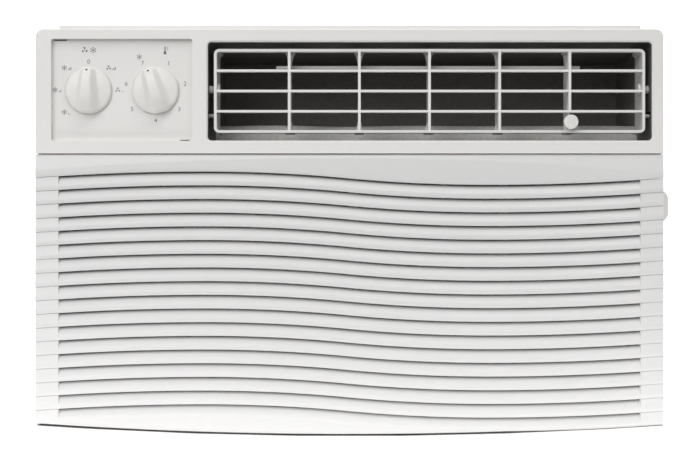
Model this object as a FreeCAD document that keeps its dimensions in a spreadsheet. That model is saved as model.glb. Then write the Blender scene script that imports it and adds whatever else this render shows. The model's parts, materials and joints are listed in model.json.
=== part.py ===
"""Window air conditioner, as an assembly of separate pieces.

Millimetres. X runs to the right as seen from the room, Y from the room to the outside, Z up.
The origin lies on the underside of the base pan, at the middle of the cabinet's width and depth.
"""
import FreeCAD, Part
import math
import operator
import os

import Sketcher

V = FreeCAD.Vector
doc = FreeCAD.newDocument("WindowAirConditioner")
sheet = doc.addObject("Spreadsheet::Sheet", "Sizes")
sub_parts = []

# ---------------------------------------------------------------- sizes and formulas

OPERATIONS = {"+": operator.add, "-": operator.sub, "*": operator.mul, "/": operator.truediv}


class Size:
    """A dimension that carries the spreadsheet formula it comes from."""

    def __init__(self, value, text):
        self.value = value
        self.text = text

    def __add__(self, other):
        return combine(self, "+", other)

    def __radd__(self, other):
        return combine(other, "+", self)

    def __sub__(self, other):
        return combine(self, "-", other)

    def __rsub__(self, other):
        return combine(other, "-", self)

    def __mul__(self, other):
        return combine(self, "*", other)

    def __rmul__(self, other):
        return combine(other, "*", self)

    def __truediv__(self, other):
        return combine(self, "/", other)

    def __neg__(self):
        return combine(0, "-", self)


def number(item):
    return item.value if isinstance(item, Size) else float(item)


def formula(item):
    return item.text if isinstance(item, Size) else f"({float(item)})"


def combine(left, sign, right):
    value = OPERATIONS[sign](number(left), number(right))
    return Size(value, f"({formula(left)} {sign} {formula(right)})")


def root(item):
    return Size(math.sqrt(number(item)), f"sqrt({formula(item)})")


def size(name, value):
    """Store one driving dimension in the sheet under its name."""
    row = size.count = getattr(size, "count", 0) + 1
    sheet.set(f"A{row}", str(value))
    sheet.setAlias(f"A{row}", name)
    return Size(float(value), f"Sizes.{name}")


# Whole unit
width = size("width", 470)
depth = size("depth", 400)
height = size("height", 306)
gap = size("assembly_gap", 0.3)

# Front bezel
wall = size("bezel_wall", 2.3)
floor_wall = size("bezel_floor_wall", 1.4)
bezel_depth = size("bezel_depth", 58)
shoulder_radius = size("shoulder_radius", 6)
foot_radius = size("foot_radius", 4)
edge_round = size("edge_round", 1.2)
fascia_foot = size("fascia_foot", 9.6)
shelf_depth = size("shelf_depth", 26)

# Control recess, in the upper left of the fascia
recess_margin = size("recess_margin", 12)
recess_width = size("recess_width", 105.5)
recess_height = size("recess_height", 76.3)
recess_head = size("recess_head", 7.5)
recess_depth = size("recess_depth", 4)
recess_wall = size("recess_wall", 1.5)
panel_thickness = size("panel_thickness", 2)
knob_drop = size("knob_drop", 38.3)
mode_offset = size("mode_offset", 27.3)
temp_offset = size("temp_offset", 77.6)

# Air outlet
outlet_gap = size("outlet_gap", 11.4)
outlet_margin = size("outlet_margin", 8.7)
outlet_head = size("outlet_head", 9.8)
outlet_height = size("outlet_height", 73.8)
outlet_radius = size("outlet_radius", 3)
outlet_bevel = size("outlet_bevel", 1)
collar_wall = size("collar_wall", 1.5)
collar_depth = size("collar_depth", 47.5)

# Louvre and vanes
louvre_side_gap = size("louvre_side_gap", 4.3)
louvre_head_gap = size("louvre_head_gap", 4.65)
louvre_foot_gap = size("louvre_foot_gap", 6.15)
louvre_setback = size("louvre_setback", 5)
louvre_depth = size("louvre_depth", 26)
louvre_wall = size("louvre_wall", 2)
louvre_radius = size("louvre_radius", 4)
louvre_blade = size("louvre_blade", 1.7)
louvre_blade_depth = size("louvre_blade_depth", 5.5)
louvre_rail_depth = size("louvre_rail_depth", 7)
louvre_lug = size("louvre_lug", 3.6)
rib_thickness = size("rib_thickness", 2)
end_bay_extra = size("end_bay_extra", 3.8)
pivot_radius = size("pivot_radius", 3)
pivot_setback = size("pivot_setback", 10.2)
pivot_rise = size("pivot_rise", 2)
running_gap = size("running_gap", 0.05)
stop_drop = size("stop_drop", 20)
stop_radius = size("stop_radius", 1.5)
stop_slot_reach = size("stop_slot_reach", 8.8)
stop_slot_rise = size("stop_slot_rise", 1.5)
vane_thickness = size("vane_thickness", 1.8)
vane_depth = size("vane_depth", 17)
vane_pin_radius = size("vane_pin_radius", 1.2)
vane_end_gap = size("vane_end_gap", 0.6)
vane_pivot_setback = size("vane_pivot_setback", 16)
link_pin_setback = size("link_pin_setback", 6)
link_thickness = size("link_thickness", 2.2)
link_drop = size("link_drop", 9.25)
link_overhang = size("link_overhang", 11)
link_pin_radius = size("link_pin_radius", 1)
finger_radius = size("finger_radius", 5.3)
finger_drop = size("finger_drop", 1.8)

# Intake grille
seam_gap = size("seam_gap", 0.6)
slot_pitch = size("slot_pitch", 10.24)
slot_opening = size("slot_opening", 1.4)
first_slot_drop = size("first_slot_drop", 19.2)
wave_rise = size("wave_rise", 5)
wave_reach = size("wave_reach", 106)
wave_shift = size("wave_shift", -2)
wave_fall = size("wave_fall", 4.64)
grille_margin = size("grille_margin", 17.2)
grille_depth = size("grille_depth", 12)
rail_end_height = size("rail_end_height", 9.5)
rail_groove = size("rail_groove", 1.5)
grille_rib_reach = size("grille_rib_reach", 72)

# Filter
filter_setback = size("filter_setback", 18)
filter_thickness = size("filter_thickness", 6)
filter_low = size("filter_low", 12)
filter_border = size("filter_border", 7)
track_wall = size("track_wall", 1.5)
pull_tab_reach = size("pull_tab_reach", 8)
pull_tab_height = size("pull_tab_height", 25)
pull_tab_drop = size("pull_tab_drop", 39)

# Cabinet
sheet_metal = size("sheet_metal", 1)
pan_metal = size("pan_metal", 1.2)
runner_drop = size("runner_drop", 3)
runner_width = size("runner_width", 36)
runner_spacing = size("runner_spacing", 200)
pan_rim = size("pan_rim", 25)
pan_setback = size("pan_setback", 14)
cabinet_lap = size("cabinet_lap", 8)
guard_thickness = size("guard_thickness", 1.5)
vent_rows = 14
vent_columns = 24
vent_pitch = size("vent_pitch", 12)
vent_opening = size("vent_opening", 3)
vent_length = size("vent_length", 38)
vent_hood = size("vent_hood", 2.2)
rail_height = size("rail_height", 15.1)
rail_flange = size("rail_flange", 22)
rail_metal = size("rail_metal", 1.5)
screw_radius = size("screw_radius", 1.8)
screw_head_radius = size("screw_head_radius", 3.6)
screw_head = size("screw_head", 1.4)
sill_bolt_radius = size("sill_bolt_radius", 3)
sill_bolt_spacing = size("sill_bolt_spacing", 200)
rail_bolt_radius = size("rail_bolt_radius", 2.2)
rail_bolt_spacing = size("rail_bolt_spacing", 360)
drain_radius = size("drain_radius", 6)
gland_bore = size("gland_bore", 4)

# Air path and rotating parts
bulkhead_setback = size("bulkhead_setback", 140)
duct_wall = size("duct_wall", 4)
housing_wall = size("housing_wall", 3)
housing_lift = size("housing_lift", 25)
housing_depth = size("housing_depth", 62)
scroll_gap = size("scroll_gap", 14)
lip_radius = size("lip_radius", 12)
lip_rise = size("lip_rise", 5)
inlet_step = size("inlet_step", 12)
nose_radius = size("nose_radius", 15)
shaft_offset = size("shaft_offset", 50)
shaft_radius = size("shaft_radius", 4)
wheel_band = size("wheel_band", 14)
blade_count = 36
motor_radius = size("motor_radius", 45)
motor_length = size("motor_length", 70)
fan_clearance = size("fan_clearance", 8)
fan_depth = size("fan_depth", 34)
fan_blades = 5
shroud_setback = size("shroud_setback", 105)

# Coils and compressor
coil_tube_radius = size("coil_tube_radius", 3.5)
evaporator_depth = size("evaporator_depth", 36)
evaporator_setback = size("evaporator_setback", 34)
evaporator_pitch = size("evaporator_pitch", 24)
condenser_depth = size("condenser_depth", 44)
condenser_setback = size("condenser_setback", 20)
condenser_pitch = size("condenser_pitch", 27)
coil_inset = size("coil_inset", 27)
compressor_radius = size("compressor_radius", 52)
compressor_height = size("compressor_height", 190)
compressor_offset = size("compressor_offset", 95)
line_inset = size("line_inset", 12)
foot_reach = size("foot_reach", 59)
knob_radius = size("knob_radius", 17.5)
knob_length = size("knob_length", 11.5)
knob_bore = size("knob_bore", 8.5)
grip_width = size("grip_width", 9)
scoop_radius = size("scoop_radius", 12.5)
bushing_length = size("bushing_length", 5)
box_drop = size("box_drop", 3.4)
temp_rest_angle = size("temp_rest_angle", 18)

# ---------------------------------------------------------------- shared places

half = width / 2
front = -depth / 2
rear = depth / 2
bezel_back = front + bezel_depth
fascia_back = front + wall

recess_left = -half + recess_margin
recess_right = recess_left + recess_width
recess_high = height - recess_head
recess_low = recess_high - recess_height
panel_front = front + recess_depth
panel_back = panel_front + panel_thickness
knob_z = recess_high - knob_drop
mode_x = recess_left + mode_offset
temp_x = recess_left + temp_offset

outlet_left = recess_right + outlet_gap
outlet_right = half - outlet_margin
outlet_high = height - outlet_head
outlet_low = outlet_high - outlet_height
seam = outlet_low - fascia_foot
collar_back = front + collar_depth + wall

louvre_left = outlet_left + louvre_side_gap
louvre_right = outlet_right - louvre_side_gap
louvre_low = outlet_low + louvre_foot_gap
louvre_high = outlet_high - louvre_head_gap
louvre_front = front + louvre_setback
louvre_back = louvre_front + louvre_depth
louvre_x = (louvre_left + louvre_right) / 2
louvre_z = (louvre_low + louvre_high) / 2 + pivot_rise
louvre_y = louvre_front + pivot_setback
louvre_row = (louvre_high - louvre_low - louvre_wall) / 4
vane_pitch = (louvre_right - louvre_left - 2 * end_bay_extra) / 6
vane_y = louvre_front + vane_pivot_setback
vane_front = vane_y - vane_depth / 2
vane_back = vane_y + vane_depth / 2
link_y = vane_y + link_pin_setback
link_z = louvre_high - louvre_wall - link_drop
finger_z = louvre_low + louvre_wall + louvre_row / 2 - finger_drop

grille_half = half
grille_top = seam - seam_gap
grille_back = front + grille_depth
crest_x = wave_shift - wave_reach
trough_x = wave_shift + wave_reach
first_slot = seam - first_slot_drop
slot_room = first_slot - wave_rise - rail_end_height - rail_groove - 3
slot_count = int(number(slot_room) / number(slot_pitch)) + 1

filter_front = front + filter_setback
filter_back = filter_front + filter_thickness
filter_high = seam - 8.5

pan_front = front + pan_setback
pan_half = half - wall - 2 * gap - sheet_metal - gap
pan_floor = runner_drop + pan_metal
cabinet_half = half - wall - gap
cabinet_top = height - wall - gap
cabinet_front = bezel_back - cabinet_lap
cabinet_back = rear - guard_thickness
inner_half = cabinet_half - sheet_metal
inner_top = cabinet_top - sheet_metal

bulkhead_y = front + bulkhead_setback
duct_low = outlet_low - duct_wall - collar_wall - 2
shaft_x = shaft_offset
housing_low = pan_floor + housing_lift
shaft_z = (housing_low + duct_low) / 2
housing_half = (duct_low - housing_low) / 2
wheel_radius = housing_half - housing_wall - scroll_gap
housing_front = bulkhead_y - 2 - housing_depth
wheel_front = housing_front + housing_wall + 4
wheel_back = bulkhead_y - 7
motor_front = bulkhead_y + 10
motor_back = motor_front + motor_length
shroud_y = rear - shroud_setback
fan_ring = shaft_z - pan_floor - fan_clearance
fan_back = shroud_y - 10
fan_front = fan_back - fan_depth

evaporator_front = front + evaporator_setback
evaporator_back = evaporator_front + evaporator_depth
evaporator_low = pan_floor + 12
evaporator_high = seam - 8.5
condenser_back = rear - condenser_setback
condenser_front = condenser_back - condenser_depth
condenser_low = pan_floor + 6
condenser_high = inner_top - 12
coil_half = half - coil_inset
compressor_x = -half + compressor_offset
compressor_y = (bulkhead_y + shroud_y) / 2
compressor_low = pan_floor + 14
line_x = -inner_half + line_inset
accumulator_low = compressor_low + 50
bulb_y = evaporator_front - coil_tube_radius - 1
drain_y = (condenser_back + cabinet_back) / 2
gland_y = cabinet_front + 40
gland_z = runner_drop + pan_rim + 18
side_screw_z = runner_drop + pan_rim / 2
side_screw_places = [cabinet_front + 30, Size(0, "0") + 20, cabinet_back - 40]
bezel_screw_levels = [housing_low + 30, seam + 30]
rail_front = bezel_back + 4
rail_screw_y = rail_front + rail_flange - 8
rail_screw_places = [-rail_bolt_spacing / 3, Size(0, "0"), rail_bolt_spacing / 3]

# ---------------------------------------------------------------- drawing helpers


def bind(item, path, value):
    item.setExpression(path, formula(value))


def place(item, x, y, z):
    for axis, value in zip("xyz", (x, y, z)):
        bind(item, f"Placement.Base.{axis}", value)


def sub_part(label, item):
    """Give a finished piece its name."""
    item.Label = label
    sub_parts.append(item)
    return item


def new_body(label, origin=(0, 0, 0), whole=True):
    """An empty body; it is a sub-part of its own unless its solids are parted later."""
    body = doc.addObject("PartDesign::Body", label if whole else label + "_blank")
    place(body, *origin)
    return sub_part(label, body) if whole else body


def origin_feature(body, role):
    return next(item for item in body.Origin.OriginFeatures if item.Role == role)


def new_sketch(body, plane, level):
    """An empty sketch parallel to an origin plane, at a level along the axis across it."""
    item = body.newObject("Sketcher::SketchObject", body.Name + "_sketch")
    item.AttachmentSupport = [(origin_feature(body, plane + "_Plane"), "")]
    item.MapMode = "FlatFace"
    bind(item, "AttachmentOffset.Base.z", -level if plane == "XZ" else level)
    return item


def dimension(item, value, *reference):
    index = item.addConstraint(Sketcher.Constraint(*reference, number(value)))
    bind(item, f"Constraints[{index}]", value)


def pin(item, edge, end, x, y):
    dimension(item, x, "DistanceX", -1, 1, edge, end)
    dimension(item, y, "DistanceY", -1, 1, edge, end)


def arc_between(start, end, radius):
    """The short arc from start to end: it turns left for a positive radius, right for a negative one."""
    chord = end - start
    rise = math.sqrt(radius * radius - chord.Length * chord.Length / 4)
    left = V(-chord.y, chord.x, 0) * (1 / chord.Length)
    centre = (start + end) * 0.5 + left * math.copysign(rise, radius)
    first, last = (start, end) if radius > 0 else (end, start)
    angles = [math.atan2(point.y - centre.y, point.x - centre.x) for point in (first, last)]
    if angles[1] < angles[0]:
        angles[1] += 2 * math.pi
    return Part.ArcOfCircle(Part.Circle(centre, V(0, 0, 1), abs(radius)), *angles)


def outline(*corners, closed=True):
    """Edges from corner to corner; a corner's third value is the radius of the arc that leaves it."""
    def draw(item):
        first = item.GeometryCount
        points = [V(number(corner[0]), number(corner[1]), 0) for corner in corners]
        count = len(corners) if closed else len(corners) - 1
        ends = []
        for index in range(count):
            start = points[index]
            end = points[(index + 1) % len(points)]
            if len(corners[index]) == 3:
                radius = corners[index][2]
                edge = item.addGeometry(arc_between(start, end, number(radius)))
                dimension(item, radius if number(radius) > 0 else -radius, "Radius", edge)
                ends.append((1, 2) if number(radius) > 0 else (2, 1))
            else:
                item.addGeometry(Part.LineSegment(start, end))
                ends.append((1, 2))
        for index in range(count if closed else count - 1):
            following = (index + 1) % count
            reference = (first + index, ends[index][1], first + following, ends[following][0])
            item.addConstraint(Sketcher.Constraint("Coincident", *reference))
        for index in range(count):
            pin(item, first + index, ends[index][0], *corners[index][:2])
        if not closed:
            pin(item, first + count - 1, ends[-1][1], *corners[-1][:2])
    return draw


def rectangle(x0, x1, y0, y1):
    return outline((x0, y0), (x1, y0), (x1, y1), (x0, y1))


def rounded(x0, x1, y0, y1, low, high=None):
    """A rectangle with rounded corners; the upper corners may have their own radius."""
    high = low if high is None else high
    return outline((x0 + low, y0), (x1 - low, y0, low), (x1, y0 + low), (x1, y1 - high, high),
                   (x1 - high, y1), (x0 + high, y1, high), (x0, y1 - high), (x0, y0 + low, low))


def circle(x, y, radius):
    def draw(item):
        edge = item.addGeometry(Part.Circle(V(number(x), number(y), 0), V(0, 0, 1), number(radius)))
        pin(item, edge, 3, x, y)
        dimension(item, radius, "Radius", edge)
    return draw


def slab(body, kind, plane, low, high, *outlines):
    """Pad or pocket the outlines between two levels along the axis across the plane."""
    level = low if (kind == "Pad") != (plane == "XZ") else high
    profile = new_sketch(body, plane, level)
    for draw in outlines:
        draw(profile)
    feature = body.newObject("PartDesign::" + kind, body.Name + "_" + kind.lower())
    feature.Profile = profile
    bind(feature, "Length", high - low)
    return feature


def revolve(body, plane, axis, *outlines):
    """Turn the outlines about the sketch's own H_Axis or V_Axis."""
    profile = new_sketch(body, plane, 0)
    for draw in outlines:
        draw(profile)
    feature = body.newObject("PartDesign::Revolution", body.Name + "_turned")
    feature.Profile = profile
    feature.ReferenceAxis = (profile, [axis])
    feature.Angle = 360
    return feature


def repeat(body, feature, axis, step, count):
    """Repeat a feature along an origin axis."""
    pattern = body.newObject("PartDesign::LinearPattern", body.Name + "_row")
    pattern.Originals = [feature]
    pattern.Direction = (origin_feature(body, axis + "_Axis"), [""])
    pattern.Reversed = number(step) < 0
    bind(pattern, "Length", (step if number(step) > 0 else -step) * (count - 1))
    pattern.Occurrences = count
    pattern.Refine = False
    body.Tip = pattern


def spin(body, feature, axis, count):
    """Repeat a feature around an origin axis."""
    pattern = body.newObject("PartDesign::PolarPattern", body.Name + "_ring")
    pattern.Originals = [feature]
    pattern.Axis = (origin_feature(body, axis + "_Axis"), [""])
    pattern.Angle = 360
    pattern.Occurrences = count
    pattern.Refine = False
    body.Tip = pattern


def soften(body, kind, value, test):
    """Fillet or chamfer the edges that pass the test."""
    doc.recompute()
    base = body.Tip
    names = [f"Edge{index}" for index, edge in enumerate(base.Shape.Edges, 1) if test(edge)]
    feature = body.newObject("PartDesign::" + kind, body.Name + "_" + kind.lower())
    feature.Base = (base, names)
    bind(feature, "Radius" if kind == "Fillet" else "Size", value)


def block(x0, x1, y0, y1, z0, z1):
    item = doc.addObject("Part::Box", "Block")
    bind(item, "Length", x1 - x0)
    bind(item, "Width", y1 - y0)
    bind(item, "Height", z1 - z0)
    place(item, x0, y0, z0)
    return item


ALONG = {"X": FreeCAD.Rotation(V(0, 0, 1), V(1, 0, 0)),
         "Y": FreeCAD.Rotation(V(0, 0, 1), V(0, 1, 0)),
         "Z": FreeCAD.Rotation()}


def rod(axis, x, y, z, radius, length):
    """A round bar from a point along a positive axis."""
    item = doc.addObject("Part::Cylinder", "Rod")
    bind(item, "Radius", radius)
    bind(item, "Height", length)
    item.Placement = FreeCAD.Placement(V(), ALONG[axis])
    place(item, x, y, z)
    return item


def cone(axis, x, y, z, start_radius, end_radius, length):
    item = doc.addObject("Part::Cone", "Cone")
    bind(item, "Radius1", start_radius)
    bind(item, "Radius2", end_radius)
    bind(item, "Height", length)
    item.Placement = FreeCAD.Placement(V(), ALONG[axis])
    place(item, x, y, z)
    return item


def fuse(*pieces):
    item = doc.addObject("Part::MultiFuse", "Joined")
    item.Shapes = list(pieces)
    return item


def group(*pieces):
    item = doc.addObject("Part::Compound", "Group")
    item.Links = list(pieces)
    return item


def cut(base, *tools):
    item = doc.addObject("Part::Cut", "Trimmed")
    item.Base = base
    item.Tool = fuse(*tools) if len(tools) > 1 else tools[0]
    return item


def parted(label, blank, *regions):
    """A sub-part made of the solids that a blank has in each region; the solids meet face to face."""
    pieces = []
    for region in regions:
        item = doc.addObject("Part::MultiCommon", "Share")
        item.Shapes = [blank, region]
        pieces.append(item)
    return sub_part(label, group(*pieces))


def ring(axis, x, y, z, inner, outer, length):
    return cut(rod(axis, x, y, z, outer, length), rod(axis, x, y, z, inner, length))


def bent_tube(radius, bend, *points):
    """A round tube along straight runs joined by bends of one radius."""
    corners = [V(*[number(value) for value in point]) for point in points]
    edges = []
    start = corners[0]
    for before, corner, after in zip(corners, corners[1:], corners[2:]):
        arriving = (corner - before).normalize()
        leaving = (after - corner).normalize()
        turn = arriving.getAngle(leaving)
        setback = bend * math.tan(turn / 2)
        enter = corner - arriving * setback
        leave = corner + leaving * setback
        middle = corner + (leaving - arriving).normalize() * bend * (1 / math.cos(turn / 2) - 1)
        edges += [Part.LineSegment(start, enter).toShape(), Part.Arc(enter, middle, leave).toShape()]
        start = leave
    edges.append(Part.LineSegment(start, corners[-1]).toShape())
    section = Part.Wire(Part.makeCircle(number(radius), corners[0], corners[1] - corners[0]))
    item = doc.addObject("Part::Feature", "Tube")
    item.Shape = Part.Wire(edges).makePipeShell([section], True, False)
    return item


# ---------------------------------------------------------------- front bezel and grille


def smile(level, reach, back=False):
    """Corners of the shallow arc that closes the grille at the bottom."""
    sag = rail_end_height - floor_wall
    radius = (reach * reach + sag * sag) / (2 * sag)
    left = (-reach, rail_end_height + level)
    right = (reach, rail_end_height + level)
    return [(*right, -radius), left] if back else [(*left, radius), right]


def wave(level, back=False):
    """Corners of the wave that the slots follow: four tangent arcs, from left to right or back."""
    inner_radius = (wave_reach * wave_reach + wave_rise * wave_rise) / (2 * wave_rise)
    left_run = grille_half + crest_x
    right_run = grille_half - trough_x
    outer = (left_run * left_run + wave_fall * wave_fall) / (2 * wave_fall)
    right_climb = outer - root(outer * outer - right_run * right_run)
    points = [(-grille_half, level + wave_rise - wave_fall), (crest_x, level + wave_rise),
              (wave_shift, level), (trough_x, level - wave_rise),
              (grille_half, level - wave_rise + right_climb)]
    radii = [-outer, -inner_radius, inner_radius, outer]
    if back:
        points.reverse()
        radii = [-radius for radius in reversed(radii)]
    return [(*point, radius) for point, radius in zip(points, radii)] + [points[-1]]


def at_front(edge):
    return all(abs(vertex.Point.y - number(front)) < 0.01 for vertex in edge.Vertexes)


def contour_distance(point):
    """How far inside the bezel's outer rectangle a point lies."""
    return min(number(half) - abs(point.x), point.z, number(height) - point.z)


def on_bezel_rim(edge):
    """True for a front edge that follows the bezel's outer contour from end to end."""
    return (at_front(edge) and all(contour_distance(vertex.Point) < 0.01 for vertex in edge.Vertexes)
            and contour_distance(edge.CenterOfMass) < 0.4 * number(shoulder_radius))


def on_outlet_rim(edge):
    box = edge.BoundBox
    return (at_front(edge)
            and box.XMin > number(outlet_left) - 0.1 and box.XMax < number(outlet_right) + 0.1
            and box.ZMin > number(outlet_low) - 0.1 and box.ZMax < number(outlet_high) + 0.1)


def front_bezel():
    body = new_body("front_bezel")
    slab(body, "Pad", "XZ", front, bezel_back,
         rounded(-half, half, 0, height, foot_radius, shoulder_radius))
    slab(body, "Pocket", "XZ", fascia_back, bezel_back,
         rounded(-half + wall, half - wall, floor_wall, height - wall,
                 foot_radius - wall, shoulder_radius - wall))
    slab(body, "Pocket", "XY", 0, floor_wall,
         rectangle(-half + wall, half - wall, pan_front - gap, bezel_back))
    slab(body, "Pad", "XZ", grille_back + gap, pan_front - gap,
         rectangle(-half + wall, half - wall, 0, rail_end_height + 2 * rail_groove))
    opening = half + 1
    slab(body, "Pocket", "XZ", front, grille_back + gap,
         outline(*smile(0, opening), (opening, seam), (-opening, seam)))
    slab(body, "Pocket", "XZ", front, fascia_back,
         rounded(recess_left, recess_right, recess_low, recess_high, recess_wall),
         rounded(outlet_left, outlet_right, outlet_low, outlet_high, outlet_radius))
    slab(body, "Pad", "XZ", fascia_back, panel_front,
         rounded(recess_left - recess_wall, recess_right + recess_wall,
                 recess_low - recess_wall, recess_high + recess_wall, 2 * recess_wall),
         rounded(recess_left, recess_right, recess_low, recess_high, recess_wall))
    slab(body, "Pad", "XZ", fascia_back, front + shelf_depth,
         rectangle(-half + wall, half - wall, seam, seam + wall))
    slab(body, "Pocket", "YZ", half - wall, half,
         rectangle(filter_front - 2 * gap, filter_back + 2 * gap, filter_low - 2 * gap,
                   filter_high + 2 * gap))
    for side in (-1, 1):
        face = (half - wall, half) if side > 0 else (-half, -half + wall)
        slab(body, "Pocket", "YZ", *face,
             *[circle(bezel_back - cabinet_lap / 2, z, screw_radius) for z in bezel_screw_levels])
    soften(body, "Fillet", edge_round, on_bezel_rim)
    soften(body, "Chamfer", outlet_bevel, on_outlet_rim)


def intake_grille():
    """Clapboard slats that follow the wave, between a top band and a bottom band."""
    body = new_body("intake_grille")
    spine = new_sketch(body, "XZ", 0)
    outline(*wave(first_slot), closed=False)(spine)
    start_z = wave(first_slot)[0][1]
    drop = slot_opening / 2
    edge_z = start_z - slot_pitch + drop
    profile = new_sketch(body, "YZ", -grille_half)
    outline((grille_back - 2.5, start_z - drop), (grille_back - 4, start_z - drop),
            (front + 1, start_z - 0.48 * slot_pitch), (front + 0.3, start_z - 0.58 * slot_pitch),
            (front + 1.2, edge_z), (front + 2.8, edge_z),
            (front + 2.1, start_z - 0.62 * slot_pitch), (grille_back - 3.6, start_z - drop - 1.7),
            (grille_back - 2.5, start_z - drop - 1.7))(profile)
    slat = body.newObject("PartDesign::AdditivePipe", "slat")
    slat.Profile = profile
    slat.Spine = (spine, ["Edge1", "Edge2", "Edge3", "Edge4"])
    slat.Mode = "Fixed"
    repeat(body, slat, "Z", -slot_pitch, slot_count)
    slab(body, "Pad", "XZ", front + 0.4, front + 3,
         outline(*wave(first_slot + drop), (grille_half, grille_top), (-grille_half, grille_top)))
    slab(body, "Pad", "XZ", front + 3, grille_back,
         rectangle(-grille_half, grille_half, grille_top - 2, grille_top))
    last_slot = first_slot - (slot_count - 1) * slot_pitch
    slab(body, "Pad", "XZ", front + 0.4, front + 3,
         outline(*smile(rail_groove, grille_half), *wave(last_slot - 0.6 * slot_pitch, back=True)))
    for side in (-1, 1):
        edges = (grille_half - grille_margin, grille_half)
        if side < 0:
            edges = (-grille_half, -grille_half + grille_margin)
        slab(body, "Pad", "XZ", front + 1.8, grille_back,
             rectangle(*edges, rail_end_height + 2 * rail_groove, grille_top - 1))
    for side in (-1, 1):
        middle = side * grille_rib_reach + wave_shift / 2
        slab(body, "Pad", "XZ", front + 3.4, grille_back,
             rectangle(middle - 1, middle + 1, rail_end_height, grille_top - 1))


def control_panel():
    low = recess_low - recess_wall
    high = recess_high + recess_wall
    body = new_body("control_panel")
    slab(body, "Pad", "XZ", panel_front, panel_back,
         rounded(recess_left - recess_wall, recess_right + recess_wall, low, high, 2 * recess_wall),
         circle(mode_x, knob_z, pivot_radius + 1), circle(temp_x, knob_z, pivot_radius + 1))


def control_box():
    """The open tray behind the panel that holds the switch, the thermostat and the capacitor."""
    left = recess_left - 3
    right = recess_right + 3
    low = recess_low - box_drop
    high = recess_high + 2
    back = panel_back + 62
    hollow = block(left + recess_wall, right - recess_wall, panel_back, back - recess_wall,
                   low + recess_wall, high - recess_wall)
    capillary_way = rod("Z", temp_x, bulb_y, low - 1, 2, 4)
    sub_part("control_box", cut(block(left, right, panel_back, back, low, high), hollow, capillary_way))


def knob(label, x, turn_back=0):
    """A round skirt with a raised grip bar, scooped on both sides; it may rest turned back to the left."""
    body = new_body(label)
    if turn_back:
        body.Placement = FreeCAD.Placement(V(), FreeCAD.Rotation(V(0, -1, 0), number(turn_back)))
        bind(body, "Placement.Rotation.Angle", turn_back)
    place(body, x, panel_front - gap, knob_z)
    tip = -knob_length
    skirt_round = 1.4
    skirt_height = 1.9
    tip_round = 2
    revolve(body, "YZ", "H_Axis",
            outline((0, pivot_radius), (0, knob_radius), (-1.6, knob_radius, skirt_round),
                    (-1.6 - skirt_round, knob_radius - skirt_round),
                    (tip + tip_round, knob_radius - 2.6, tip_round), (tip, knob_radius - 2.6 - tip_round),
                    (tip, 0), (-knob_bore, 0), (-knob_bore, pivot_radius)))
    for side in (-1, 1):
        slab(body, "Pocket", "XY", -knob_radius, knob_radius,
             circle(side * (grip_width / 2 + scoop_radius), -skirt_height - scoop_radius, scoop_radius))
    slab(body, "Pocket", "XZ", tip, tip + 0.6, circle(0, knob_radius - 7, 0.9))


def control_shaft(label, x):
    start = panel_front - gap - knob_bore
    sub_part(label, rod("Y", x, start, knob_z, pivot_radius, panel_back + 20 - start))


def rotary_control(label, x, reach, drop, back):
    """A switch or thermostat body with a bushing against the panel and a bore for its shaft."""
    bushing = rod("Y", x, panel_back, knob_z, pivot_radius + 2, bushing_length)
    case = block(x - reach, x + reach, panel_back + bushing_length, back, knob_z - drop, knob_z + reach)
    bore = rod("Y", x, panel_back - 1, knob_z, pivot_radius + running_gap, 21 + gap)
    sub_part(label, cut(fuse(bushing, case), bore))


def thermostat_bulb():
    """The sensing bulb in front of the evaporator and its capillary."""
    bulb_z = evaporator_high - 54
    bulb_x = temp_x + 20
    capillary = bent_tube(1, 8, (temp_x, bulb_y, knob_z - 16), (temp_x, bulb_y, bulb_z),
                          (bulb_x, bulb_y, bulb_z))
    sub_part("thermostat_bulb", group(capillary, rod("X", bulb_x, bulb_y, bulb_z, coil_tube_radius, 70)))


def run_capacitor():
    radius = 16
    sub_part("run_capacitor", rod("X", recess_left + 8, panel_back + 42,
                                  recess_low - box_drop + recess_wall + radius, radius, 70))


# ---------------------------------------------------------------- air outlet


def outlet_collar():
    body = new_body("outlet_collar")
    opening = (outlet_left, outlet_right, outlet_low, outlet_high)
    grown = (outlet_left - collar_wall, outlet_right + collar_wall,
             outlet_low - collar_wall, outlet_high + collar_wall)
    slab(body, "Pad", "XZ", fascia_back, collar_back,
         rounded(*grown, outlet_radius + collar_wall), rounded(*opening, outlet_radius))
    lip = 3
    slab(body, "Pad", "XZ", fascia_back, fascia_back + collar_wall,
         rectangle(grown[0] - lip, grown[1] + lip, grown[2] - lip, grown[3] + lip),
         rounded(*opening, outlet_radius))
    slot = rectangle(louvre_y - stop_slot_reach, louvre_y + stop_slot_reach,
                     louvre_z - stop_drop - stop_radius - gap,
                     louvre_z - stop_drop + stop_radius + stop_slot_rise)
    for side in ((grown[0], outlet_left), (outlet_right, grown[1])):
        slab(body, "Pocket", "YZ", *side, circle(louvre_y, louvre_z, pivot_radius + running_gap))
        slab(body, "Pocket", "YZ", *side, slot)


def vane_x(index):
    return louvre_x + (index - 3) * vane_pitch


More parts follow.
